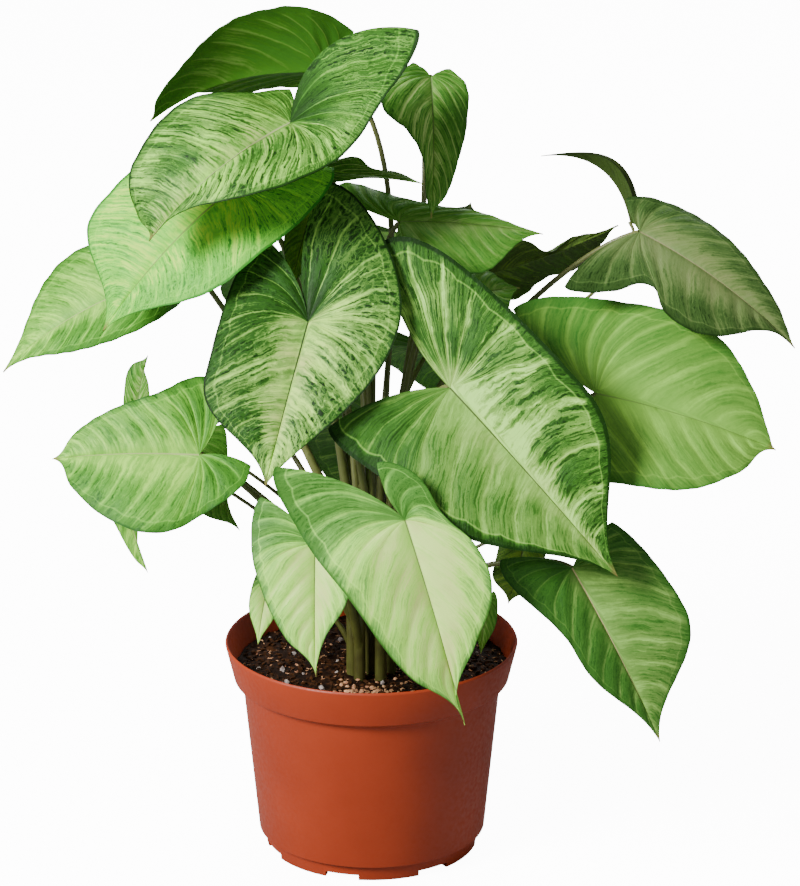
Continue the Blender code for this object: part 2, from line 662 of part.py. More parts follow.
def main():
    clear_scene()
    plant = new_collection("potted_syngonium")
    build_pot(plant, new_collection("pot_cutters"))
    build_soil(plant, new_collection("soil_cutters"))
    leaves = {**SEEN_LEAVES, **BACK_LEAVES}
    blades = {name: Blade(**sizes) for name, sizes in leaves.items()}
    for letter in CANES:
        own = {name: blades[name] for name, sizes in leaves.items() if sizes["shoot"] == letter}
        build_shoot(letter, own, plant)
    for name, sizes in leaves.items():
        build_leaf(name, blades[name], sizes["colour"], plant)
    for thing in plant.objects:
        thing.data.shade_smooth()
        thing.data.set_sharp_from_angle(angle=radians(40))


main()
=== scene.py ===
"""The looks of a potted syngonium: fine leaves, stalks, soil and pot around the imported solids.

Metres, +Z up, with the origin in the middle of the pot's flat underside and the photographed side at -Y.
Leaf places are read off the photograph: each is a pixel across, a pixel down and the millimetres that the
place stands in front of the pot's axis, which one function turns into metres.
"""

import json
import random
from math import cos, hypot, pi, radians, sin

import bmesh
import bpy
import numpy as np
from mathutils import Matrix, Vector


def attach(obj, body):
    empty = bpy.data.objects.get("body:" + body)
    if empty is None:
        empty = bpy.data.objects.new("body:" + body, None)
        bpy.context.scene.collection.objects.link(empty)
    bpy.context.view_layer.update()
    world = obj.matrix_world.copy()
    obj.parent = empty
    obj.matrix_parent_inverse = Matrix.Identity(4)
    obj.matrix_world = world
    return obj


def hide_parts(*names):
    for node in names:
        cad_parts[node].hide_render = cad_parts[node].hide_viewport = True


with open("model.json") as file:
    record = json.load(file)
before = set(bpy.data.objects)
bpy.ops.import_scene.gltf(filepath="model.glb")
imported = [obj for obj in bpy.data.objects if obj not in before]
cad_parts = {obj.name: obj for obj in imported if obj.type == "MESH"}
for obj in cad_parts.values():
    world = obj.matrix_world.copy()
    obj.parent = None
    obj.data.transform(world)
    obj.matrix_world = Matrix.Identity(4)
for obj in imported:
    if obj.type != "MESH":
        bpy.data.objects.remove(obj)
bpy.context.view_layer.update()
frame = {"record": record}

MM = 0.001
SEED = 41
SOFT_EDGE_ANGLE = radians(60)

# Where the photograph was taken from
PICTURE_WIDTH = 800
PICTURE_HEIGHT = 886
FOCAL_PIXELS = 3865.6
SENSOR_WIDTH = 36.0
EYE_DISTANCE = 2.0
EYE_HEIGHT_ANGLE = radians(18.73)
EYE_TARGET = np.array((0.015, 0.0, 0.2222))
TO_EYE = np.array((0.0, -cos(EYE_HEIGHT_ANGLE), sin(EYE_HEIGHT_ANGLE)))
PICTURE_RIGHT = np.array((1.0, 0.0, 0.0))
PICTURE_UP = np.cross(TO_EYE, PICTURE_RIGHT)
EYE = EYE_TARGET + TO_EYE * EYE_DISTANCE

# Studio: place, size across and watts of each lamp, the room's even light, the point that the lamps aim at,
# the backdrop's glow, and how far below the pot's foot the backdrop and the floor lie
STUDIO_LIGHTS = {
    "key": ((-1.9, -1.7, 1.9), 1.0, 215),
    "fill": ((1.9, -1.5, 0.9), 1.5, 6),
    "back": ((0.3, 1.8, 1.6), 1.2, 45),
}
ROOM_LIGHT = 0.3
LIGHTS_AIM = (0, 0, 0.2)
FLOOR_GLOW = 12.0
FLOOR_SIZE = 60
BACKDROP_DROP = 0.2 * MM
FLOOR_DROP = 0.4 * MM

# Pot
POT_HEIGHT = 114 * MM
RIM_RADIUS = 77 * MM
RIM_LIP = 1.2 * MM
RIM_BAND = 20 * MM
RIM_BAND_FOOT_RADIUS = 72.5 * MM
NECK_RADIUS = 68 * MM
NECK_STEP = 2.5 * MM
WALL_FOOT_RADIUS = 60 * MM
WALL = 1.6 * MM
FOOT_HEIGHT = 9 * MM
FOOT_RADIUS = 57 * MM
FOOT_THICKNESS = 5 * MM
CHANNEL_INNER_RADIUS = 38 * MM
CHANNEL_HEIGHT = 5 * MM
NOTCHES = 7
NOTCH_WIDTH = 18 * MM
NOTCH_HEIGHT = 3 * MM
FIRST_NOTCH_ANGLE = radians(-106)
DRAIN_RADIUS = 3 * MM
DRAIN_SIDES = 24
POT_SIDES = 144
EDGE_ROUNDING = 0.35 * MM
ROUNDED_EDGE_ANGLE = radians(25)
POT_EDGE_ANGLE = radians(32)

# Soil
SOIL_EDGE_HEIGHT = 99 * MM
SOIL_CROWN_HEIGHT = 101 * MM
SOIL_RINGS = 46
SOIL_SIDES = 120
SOIL_CLEARANCE = 0.6 * MM
SOIL_EDGE_GAP = 0.4 * MM
CLOD_HEIGHT = 0.7 * MM
MIX_RADIUS = 70 * MM

# Canes: place across, place back, and height of the top, in millimetres
CANES = {
    "a": (-6, -25, 150),
    "b": (-10, -16, 190),
    "c": (0, -16, 210),
    "d": (5, -25, 165),
    "e": (10, -15, 200),
    "f": (-6, -6, 200),
    "g": (5, -6, 180),
}
CANE_FOOT_RADIUS = 3.1 * MM
CANE_TOP_RADIUS = 2.8 * MM
CANE_IN_SOIL = 18 * MM
CANE_ROUND_TOP = 3 * MM
CANE_STEPS = 14
LOWEST_STALK = 108 * MM

# Leaf stalks
STALK_RADIUS = 1.4 * MM
SMALL_STALK_RADIUS = 0.9 * MM
STALK_STEPS = 30
TUBE_RESOLUTION = 3

# How thick a stalk is against its usual radius: at these shares of its way, with a sheath at the foot
STALK_TAPER_AT = (0, 0.12, 0.3, 0.94, 1)
STALK_TAPER = (1.7, 1.9, 1.15, 0.9, 1.1)

# Where a stalk starts on its cane, by the height of its leaf, how far its curve is pulled, and between
# which heights it goes from a dark brown-olive foot to a lighter olive
LOWEST_SEAT = 150 * MM
HIGHEST_SEAT = 400 * MM
LEAST_SHARE_OF_CANE = 0.05
MOST_SHARE_OF_CANE = 0.9
STALK_OUTWARD_PULL = 0.12
STALK_UPWARD_PULL = 0.45
STALK_ARRIVAL_PULL = 0.22
DARK_TO_OLIVE_BETWEEN = (120 * MM, 300 * MM)

# Leaf blades. The ribs of the first part of a blade all fan out from the seat. A grid is its steps along
# the margin and from the midrib to the margin.
BLADE_THICKNESS = 0.45 * MM
RIB_FAN = 0.25
RIB_SWEEP = 0.18
RIB_SWEEP_STARTS = 0.2
DROOP_OF_LOBES = 1.6
MARGIN_WAVES = 2.5
LARGE_GRID = (120, 22)
SMALL_GRID = (44, 10)
MERGE = 0.01 * MM
BLADE_EDGE_ANGLE = radians(50)

# A plain blade's lobes run back and out from its seat, and its sides stand this far down its length
LOBE_BACK = 0.82
LOBE_OUT = 0.57
WIDEST_AT = 0.28

# How far the curves of a blade's outline are pulled, as shares of the runs that they bend
NOTCH_START_PULL = 0.35
NOTCH_START_BULGE = 0.14
NOTCH_END_PULL = 0.2
NOTCH_END_BULGE = 0.08
NOTCH_FADES_BY = 0.25
LOBE_ROUNDING = 0.22
LOBE_OVERRUN = 0.05
SIDE_PULL_BACK = 0.36
SIDE_PULL_ON = 0.42
TIP_PULL = 0.26
TIP_BREADTH = 0.16

# Side veins, which bend on towards the tip, the pale vein that joins them along the margin, the blade's
# puffs between them, the midrib's gutter and the margin's frill
SIDE_VEINS = 10
VEIN_OFFSET = 0.37
VEIN_BEND = 0.05
COLLECTIVE_VEIN_AT = 0.88
COLLECTIVE_VEIN_HALF_WIDTH = 0.016
PUFF_BETWEEN_VEINS = 0.8 * MM
MIDRIB_GUTTER = 0.6 * MM
MIDRIB_GUTTER_HALF_WIDTH = 0.05
MIDRIB_WIDTH = 0.7 * MM
MARGIN_FRILL = 0.3 * MM
MARGIN_FRILLS = 11

# Fine netting between the side veins: the width of a cell, how much longer it is, and the half width of
# a blade against its length
NET_CELL = 1.2 * MM
NET_STRETCH = 3.2
HALF_TO_LENGTH = 0.42

# Where the lobes' fuller green starts to fade along the margin, and how far the side veins wander and how
# ragged they are, as shares of the margin's length and of half the space between two veins
LOBE_GREEN_FROM = 0.12
VEIN_WANDER = 0.07
VEIN_RAGGEDNESS = 0.16

# How far the pale zone beside a side vein reaches at the midrib and at the margin, as shares of half the
# space between two veins
HALO_REACH = (0.95, 0.4)

# How far the collective vein swings between side veins and drifts, and over what share the side veins
# fade out there
ARC_SWING = 0.03
ARC_DRIFT = 0.06
VEINS_FADE_OVER = 0.06

# Streaks and netting: how many streaks there are to a cell, side by side and end to end, how far apart the
# halves' patterns are drawn, how far ruffles push streaks and cells about, and how wide the lines are
STREAKS_PER_CELL = (1.25, 0.24)
HALVES_APART = 9.0
STREAK_PUSH = (1.2, 1.2, 0.0)
CELL_PUSH = (2.2, 2.2, 0.0)
THREAD_WIDTH = 0.07
NET_LINE_WIDTH = 0.3

# How much of the green's unevenness comes from broad patches, from streaks and from fine ruffles
PATCH_SHARE = 1.5
STREAK_SHARE = 3.0
RUFFLE_SHARE = 0.5

# The dark hem: where it starts and is full between midrib and margin, and how dark it is. The dried tip
# starts and is full at the same shares of the way along the margin.
HEM = (0.965, 0.99)
HEM_STRENGTH = 0.8

# Real sizes of the patterns, by how many lie in a metre: 31, 3.8, 1.1, 11, 45, 2.4, 3.8 and 3.3 mm. The
# finest are drawn as coarse as the picture needs to show them.
METRE = 1000 * MM
LEAF_PATCH = METRE / 32
LEAF_RUFFLE = METRE / 260
STALK_FIBRE = METRE / 900
STALK_FIBRE_STRETCH = 0.06
STALK_BLOTCH = METRE / 90
MOULD_FLOW = METRE / 22
MOULD_SCUFF = METRE / 420
PEAT_CLOD = METRE / 260
GRIT_MOTTLE = METRE / 300

# Blades that the photograph shows. A place is (across, down, front). A lobe end or a side is
# (across, down, lift), with its lift over the blade's plane in millimetres. The face is the compass
# and height angle of the upper face, 0 towards the eye and positive to the right.
SEEN_LEAVES = {
    "leaf_01": dict(
        shoot="g", look="glossy green", face=(195, 28), seat=(320, 73, -25), tip=(150, 121, -5),
        lobes=((354, 32, 0), (336, 98, 4)), arch=13, stalk_by=(392, 250, -30), stalk_lean=(0.3, 0.9),
        sides=(((310, 9, 2), (262, 10, 3), (213, 33, 3), (180, 68, 2), (157, 99, 1)),
               ((300, 87, 9), (245, 93, 9), (198, 93, 6), (167, 105, 2))),
    ),
    "leaf_02": dict(
        shoot="c", look="netted cream", face=(-12, 33), seat=(290, 123, 30), tip=(149, 241, 62),
        lobes=((290, 90, -12), (418, 30, 24)), arch=14, notch_bulge=(3.2, 1), stalk_by=(345, 230, -24),
        sides=(((248, 92, -11), (203, 95, -9), (166, 115, -7), (141, 148, -4), (129, 180, -1), (138, 216, 0)),
               ((411, 60, 22), (384, 98, 19), (348, 150, 14), (298, 180, 9), (245, 196, 5), (180, 213, 1))),
    ),
    "leaf_03": dict(
        shoot="b", look="fresh lime", face=(-20, 35), seat=(232, 188, 14), tip=(103, 331, 40),
        lobes=((215, 120, 0), (334, 168, 2)), sides=((98, 205, 2), (244, 268, 2)), arch=8,
    ),
    "leaf_04": dict(
        shoot="b", look="soft green", face=(-35, 45), seat=(165, 278, -10), tip=(3, 372, -5),
        lobes=((185, 220, 0), (196, 280, 0)), sides=((79, 250, 2), (124, 336, 2)), arch=10,
        stalk_by=(216, 298, -12),
    ),
    "leaf_05": dict(
        shoot="c", look="netted dark", face=(-5, 25), seat=(308, 322, 48), tip=(265, 487, 92),
        lobes=((268, 240, 6), (322, 182, 6)), sides=((205, 375, 4), (399, 328, 4)), arch=3,
    ),
    "leaf_06": dict(
        shoot="d", look="streaked", face=(-2, 30), seat=(450, 388, 56), tip=(618, 577, 90),
        lobes=((328, 428, 5), (381, 243, 3)), sides=((405, 498, 5), (585, 388, 5)), arch=6,
    ),
    "leaf_07": dict(
        shoot="e", look="calm lime", face=(15, 42), seat=(597, 394, 22), tip=(776, 450, 28),
        lobes=((560, 470, 3), (513, 310, 3)), arch=6,
        sides=(((610, 482, 3), (680, 490, 3), (737, 474, 2)),
               ((560, 297, 3), (648, 306, 3), (715, 334, 3), (752, 386, 2), (769, 434, 1))),
    ),
    "leaf_08": dict(
        shoot="e", look="grey olive", face=(20, 42), seat=(640, 232, -32), tip=(795, 348, -8),
        lobes=((564, 287, 4), (626, 199, 2)), arch=8,
        sides=(((610, 291, 4), (648, 285, 4), (666, 314, 4), (708, 335, 4), (768, 331, 2)),
               ((668, 203, 2), (726, 237, 2), (774, 298, 2), (787, 328, 1))),
    ),
    "leaf_09": dict(
        shoot="e", look="dark rolled", face=(105, 62), seat=(630, 221, -50), tip=(541, 156, -66),
        width=18, lobe=8, fold=8, arch=13, puff=0, small=True, stalk_lean=(0.3, 0.8),
    ),
    "leaf_10": dict(
        shoot="g", look="shaded olive", face=(185, 35), seat=(490, 273, -30), tip=(618, 225, -52),
        lobes=((468, 268, 0), (476, 300, 0)), arch=-2, wave=2,
        sides=(((500, 251, 0), (524, 242, 2), (548, 251, -1), (572, 238, 2), (600, 232, 0)),
               ((508, 300, 0), (542, 281, 0), (580, 266, 0), (602, 244, 0))),
    ),
    "leaf_11": dict(
        shoot="c", look="plain green", face=(5, 48), seat=(400, 222, -16), tip=(543, 234, -14),
        lobes=((335, 190, 0), (405, 290, 0)), sides=((455, 208, 0), (465, 274, 0)), arch=4,
    ),
    "leaf_12": dict(
        shoot="e", look="plain green", face=(15, 50), seat=(440, 300, 6), tip=(520, 288, -12),
        lobes=((415, 275, 0), (425, 330, 0)), sides=((472, 266, 0), (490, 330, 0)), arch=2,
    ),
    "leaf_13": dict(
        shoot="e", look="dark streaked", face=(25, 20), seat=(431, 77, -46), tip=(431, 219, 4),
        lobes=((412, 63, 0), (450, 69, 4)), arch=3, stalk_by=(422, 240, -30),
        sides=(((384, 84, 0), (383, 109, 2), (407, 130, 3), (422, 157, 2), (426, 195, 0)),
               ((466, 86, 5), (468, 116, 5), (460, 155, 3), (448, 192, 1))),
    ),
    "leaf_14": dict(
        shoot="c", look="glossy green", face=(-10, 52), seat=(322, 171, 2), tip=(425, 184, 22),
        lobes=((306, 165, 0), (308, 180, 0)), arch=1, puff=1, small=True, stalk_by=(355, 250, -16),
        sides=(((332, 161, 1), (357, 157, 3), (372, 168, 1), (397, 172, 0)),
               ((335, 182, 0), (368, 178, 2), (400, 180, 0))),
    ),
    "leaf_15": dict(
        shoot="g", look="grey olive", face=(10, 20), seat=(452, 252, -38), tip=(471, 202, -44),
        lobes=((430, 254, 0), (488, 252, 0)), arch=1, small=True,
        sides=(((435, 228, 0), (452, 210, 0)), ((479, 236, 0), (476, 214, 0))),
    ),
    "leaf_16": dict(
        shoot="a", look="soft green", face=(-20, 38), seat=(199, 455, 45), tip=(52, 459, 32),
        lobes=((225, 393, 0), (251, 466, 0)), arch=5, stalk_by=(262, 502, 40),
        sides=(((203, 376, 2), (158, 393, 4), (116, 407, 4), (76, 432, 2)),
               ((243, 486, 2), (206, 512, 4), (160, 533, 4), (112, 521, 4), (73, 489, 2))),
    ),
    "leaf_17": dict(
        shoot="a", look="dark streaked", face=(-20, 10), seat=(137, 414, 10), tip=(148, 355, 10),
        lobes=((127, 420, 0), (150, 416, 0)), arch=2, small=True,
        sides=(((125, 385, 0), (131, 366, 0)), ((149, 387, 0), (144, 366, 0))),
    ),
    "leaf_18": dict(
        shoot="a", look="soft green", face=(-10, 15), seat=(112, 458, 15), tip=(148, 573, 32),
        lobes=((92, 440, 0), (135, 430, 0)), arch=3, small=True,
        sides=(((99, 490, 0), (117, 528, 0), (134, 558, 0)), ((143, 480, 0), (138, 530, 0), (139, 556, 0))),
    ),
    "leaf_19": dict(
        shoot="f", look="plain green", face=(10, 15), seat=(190, 445, -12), tip=(240, 531, -2),
        lobes=((165, 450, 0), (222, 424, 0)), arch=3, small=True,
        sides=(((176, 490, 0), (203, 514, 0)), ((228, 466, 0), (228, 502, 0))),
    ),
    "leaf_20": dict(
        shoot="a", look="pale", face=(-8, 22), seat=(315, 544, 66), tip=(316, 677, 88),
        lobes=((261, 497, 4), (345, 505, 4)), arch=3,
        sides=(((251, 530, 4), (258, 580, 4), (284, 636, 3), (308, 660, 1)),
               ((352, 560, 4), (347, 601, 4), (326, 636, 3), (318, 660, 1))),
    ),
    "leaf_21": dict(
        shoot="d", look="pale", face=(8, 20), seat=(405, 520, 94), tip=(465, 725, 114),
        lobes=((275, 467, 0), (377, 463, 6)), arch=6,
        sides=(((300, 533, 0), (348, 598, 6), (405, 673, 4), (451, 703, 2)),
               ((414, 473, 8), (443, 514, 6), (477, 547, 6), (492, 590, 6), (476, 643, 4), (457, 690, 2))),
    ),
    "leaf_22": dict(
        shoot="d", look="deep green", face=(14, 28), seat=(572, 568, 66), tip=(660, 742, 90),
        lobes=((500, 560, 4), (612, 522, 4)), sides=((576, 654, 4), (684, 606, 4)), arch=5,
    ),
    "leaf_23": dict(
        shoot="e", look="shaded olive", face=(10, 20), seat=(525, 540, 30), tip=(508, 604, 38),
        lobes=((505, 530, 0), (545, 530, 0)), sides=((493, 570, 0), (538, 582, 0)), arch=2, small=True,
    ),
    "leaf_24": dict(
        shoot="e", look="plain green", face=(0, 10), seat=(486, 600, 12), tip=(481, 654, 16),
        width=13, lobe=6, arch=2, small=True,
    ),
    "leaf_25": dict(
        shoot="b", look="pale", face=(-10, 20), seat=(268, 583, 20), tip=(258, 645, 32),
        width=16, lobe=8, arch=2, small=True,
    ),
    "leaf_26": dict(
        shoot="b", look="shaded olive", face=(-10, 20), seat=(311, 212, -4), tip=(290, 292, 14),
        width=20, lobe=12, arch=2, small=True,
    ),
}

# Blades at the back, which the photograph's view hides, placed the same way
BACK_LEAVES = {
    "leaf_27": dict(
        shoot="f", look="netted cream", face=(160, 40), seat=(430, 350, -56), tip=(510, 440, -112),
        width=78, lobe=48, arch=8,
    ),
    "leaf_28": dict(
        shoot="f", look="soft green", face=(205, 40), seat=(314, 262, -58), tip=(244, 338, -124),
        width=74, lobe=38, arch=8,
    ),
    "leaf_29": dict(
        shoot="g", look="streaked", face=(180, 35), seat=(384, 424, -56), tip=(362, 524, -116),
        width=76, lobe=46, arch=7,
    ),
    "leaf_30": dict(
        shoot="g", look="fresh lime", face=(130, 45), seat=(530, 408, -36), tip=(610, 480, -95),
        width=72, lobe=44, arch=7,
    ),
    "leaf_31": dict(
        shoot="b", look="netted dark", face=(220, 40), seat=(250, 400, -40), tip=(170, 460, -95),
        width=66, lobe=40, arch=7,
    ),
    "leaf_32": dict(
        shoot="f", look="pale", face=(160, 50), seat=(400, 234, -72), tip=(472, 288, -140),
        width=70, lobe=42, arch=8,
    ),
}
LEAVES = {**SEEN_LEAVES, **BACK_LEAVES}

# How each kind of leaf is coloured, after what most of them share. core: how far from the midrib the pale
# middle reaches. middle and field: how full the green is there and beyond it, in the left and the right
# half as seen from the seat. lobes and beyond: how much fuller it is in each lobe and outside the pale
# vein along the margin. reach: how far down the margin the lobes' green goes. calm: how even each half
# is. halo, net, threads, veins, collective and flecks: how clearly the side veins' pale zones, the fine
# netting, the pale threads, the side veins, the margin's vein and the streaks stand out. breadth: how
# wide and soft a side vein is. band: the dark edge's share of a rib. edge: how full its green is. blush:
# how much of the pale middle is pinkish. lean: how much further on towards the tip the side veins reach
# the margin, in each half.
COMMON_LOOK = dict(
    core=0.0, lobes=(0.1, 0.1), reach=0.42, halo=0.4, net=0.3, threads=0.5, veins=0.45, breadth=0.2,
    collective=0.2, beyond=0.3, band=0.04, edge=0.9, flecks=0.8, blush=0.0, lean=(0.0, 0.0),
)
LOOKS = {
    "netted cream": dict(
        COMMON_LOOK, pale="#A3E64E", light="#82B74A", green="#3E7422", dark="#102E04", under="#5E9A34",
        midrib="#A8B478", middle=(0.45, 0.32), field=(1.0, 0.85), lobes=(0.75, 0.3), calm=(0.0, 0.1),
        halo=0.35, net=0.45, threads=0.9, breadth=0.12, collective=0.3, beyond=0.35, band=0.05, edge=0.95,
        flecks=1.6, blush=0.9,
    ),
    "netted dark": dict(
        COMMON_LOOK, pale="#B5E661", light="#7DAD4A", green="#295616", dark="#0A2500", under="#4C8030",
        midrib="#2E4022", core=0.1, middle=(0.27, 0.32), field=(0.85, 0.85), lobes=(0.9, 0.6),
        calm=(0.0, 0.25), net=0.8, threads=0.7, veins=0.5, breadth=0.14, collective=0.3, beyond=0.2,
        band=0.03, edge=0.95, flecks=1.2, blush=0.8, lean=(-0.03, 0.03),
    ),
    "streaked": dict(
        COMMON_LOOK, pale="#ADE66C", light="#77A745", green="#37691E", dark="#0F3002", under="#4C8030",
        midrib="#46562E", middle=(0.16, 0.26), field=(0.86, 0.56), lobes=(0.12, 0.26), calm=(0.0, 0.65),
        halo=0.65, threads=0.7, veins=0.6, breadth=0.12, collective=0.5, beyond=0.8, band=0.07, edge=1.0,
        flecks=1.15, blush=0.4, lean=(-0.11, 0.0),
    ),
    # Partly painted light: the left half's fuller green by the midrib, the lobes' longer reach and the bright
    # green and dark stops paint leaf_02's shadow on leaf_03 bright green, for the light that shines through
    # leaf_02; the rest is the leaf's own colour.
    "fresh lime": dict(
        COMMON_LOOK, pale="#B8E84A", light="#80D43E", green="#5CB034", dark="#2F7A20", under="#6FA83A",
        midrib="#7E9A4A", core=0.15, middle=(0.5, 0.3), field=(0.95, 0.6), lobes=(0.25, 0.35), reach=0.5,
        calm=(0.0, 0.2), halo=0.5, net=0.7, threads=1.0, breadth=0.18, collective=0.3, band=0.045,
        edge=0.95, flecks=1.5,
    ),
    "calm lime": dict(
        COMMON_LOOK, pale="#99D652", light="#79AD42", green="#5B8E33", dark="#346F23", under="#6FA83A",
        midrib="#64843C", core=0.1, middle=(0.4, 0.34), field=(0.68, 0.57), lobes=(0.2, 0.2),
        calm=(0.35, 0.35), halo=0.5, net=0.25, threads=0.3, breadth=0.3, collective=0.35, beyond=0.25,
        band=0.03, edge=0.8, flecks=0.6, lean=(0.12, 0.12),
    ),
    "soft green": dict(
        COMMON_LOOK, pale="#A2DD50", light="#74B13D", green="#4B8927", dark="#215512", under="#5E9A40",
        midrib="#A2B06C", core=0.1, middle=(0.25, 0.3), field=(0.75, 0.62), lobes=(0.3, 0.3),
        calm=(0.1, 0.1), net=0.4, veins=0.42, breadth=0.22, collective=0.35, blush=0.1,
    ),
    "deep green": dict(
        COMMON_LOOK, pale="#8CBD56", light="#658D3D", green="#3C6D24", dark="#225116", under="#4A7C30",
        midrib="#A89C70", middle=(0.3, 0.5), field=(0.62, 0.98), lobes=(0.25, 0.35), calm=(0.1, 0.1),
        halo=0.5, net=0.4, veins=0.42, breadth=0.18, collective=0.35, band=0.05, flecks=0.65,
    ),
    "grey olive": dict(
        COMMON_LOOK, pale="#70834F", light="#657B43", green="#3E5B28", dark="#18330C", under="#54663A",
        midrib="#7F7F58", core=0.2, middle=(0.36, 0.36), field=(0.75, 0.75), lobes=(0.12, 0.12),
        calm=(0.45, 0.45), halo=0.5, net=0.6, veins=0.3, collective=0.3, blush=0.3,
    ),
    "dark rolled": dict(
        COMMON_LOOK, pale="#56642C", light="#3A4C1C", green="#2A3C12", dark="#16220A", under="#3A501C",
        midrib="#445226", middle=(0.3, 0.3), field=(0.6, 0.6), calm=(0.2, 0.2), threads=0.4, veins=0.5,
        beyond=0.1,
    ),
    # Partly painted light: these colours, the dark stop most, are lifted so that blades that lie in the
    # others' shade come out lighter than the lamps leave them; the rest is the leaf's own colour.
    "plain green": dict(
        COMMON_LOOK, pale="#92B364", light="#67973B", green="#4B8629", dark="#2F5F1C", under="#46782A",
        midrib="#6A8C46", middle=(0.3, 0.3), field=(0.7, 0.7), calm=(0.2, 0.2), halo=0.5, net=0.4,
        beyond=0.1, lean=(0.1, 0.1),
    ),
    "dark streaked": dict(
        COMMON_LOOK, pale="#A1BF6B", light="#689C3B", green="#3D7920", dark="#1D4B0D", under="#3C6A24",
        midrib="#6F8A50", middle=(0.4, 0.4), field=(0.8, 0.8), calm=(0.0, 0.0), halo=0.6, net=0.4,
        threads=0.7, veins=0.7, beyond=0.2, band=0.05, flecks=1.0, lean=(0.12, 0.12),
    ),
    # Partly painted light: the saturated greens of the underside stand in for the light that shines through
    # leaf_01's backlit blade; the rest is the leaf's own colour.
    "glossy green": dict(
        COMMON_LOOK, pale="#9DB86E", light="#5F8833", green="#336816", dark="#225411", under="#396C12",
        midrib="#7EAC4A", middle=(0.5, 0.5), field=(0.7, 0.7), calm=(0.1, 0.1), net=0.35, threads=0.45,
        veins=0.9, beyond=0.1, flecks=0.9, lean=(0.15, 0.15),
    ),
    "pale": dict(
        COMMON_LOOK, pale="#C8EA7A", light="#A5E357", green="#6AA545", dark="#2B5F1B", under="#86B458",
        midrib="#6E8A48", core=0.35, middle=(0.1, 0.25), field=(0.42, 0.42), lobes=(0.85, 0.62),
        calm=(0.2, 0.3), threads=0.3, veins=0.32, breadth=0.26, collective=0.35, edge=0.6, flecks=0.65,
        blush=0.8, lean=(0.08, 0.08),
    ),
    # Partly painted light: these colours are lifted so that blades that lie in the others' shade come out
    # lighter than the lamps leave them; the rest is the leaf's own olive.
    "shaded olive": dict(
        COMMON_LOOK, pale="#849D3E", light="#63832E", green="#4A6B27", dark="#263D16", under="#3A501C",
        midrib="#445226", middle=(0.3, 0.3), field=(0.6, 0.6), calm=(0.2, 0.2), threads=0.4, veins=0.5,
        beyond=0.1,
    ),
}
BLUSH = "#BCA678"
DRY_TIP = "#7A6A3A"


def unit(vector):
    return vector / np.linalg.norm(vector)


def sight_line(across, down):
    """The direction from the eye through a pixel of the photograph."""
    right = PICTURE_RIGHT * (across - PICTURE_WIDTH / 2) / FOCAL_PIXELS
    up = PICTURE_UP * (PICTURE_HEIGHT / 2 - down) / FOCAL_PIXELS
    return right + up - TO_EYE


def place(across, down, front):
    """The point behind a pixel that stands so many millimetres in front of the pot's axis."""
    line = sight_line(across, down)
    return EYE + line * (-front * MM - EYE[1]) / line[1]


def direction(compass, height):
    """A unit vector, compass 0 towards the eye and positive to the right."""
    turn = radians(compass)
    rise = radians(height)
    return np.array((sin(turn) * cos(rise), -cos(turn) * cos(rise), sin(rise)))


def bezier(a, b, c, d, t):
    t = np.asarray(t, float)[..., None]
    s = 1 - t
    return s ** 3 * a + 3 * s * s * t * b + 3 * s * t * t * c + t ** 3 * d


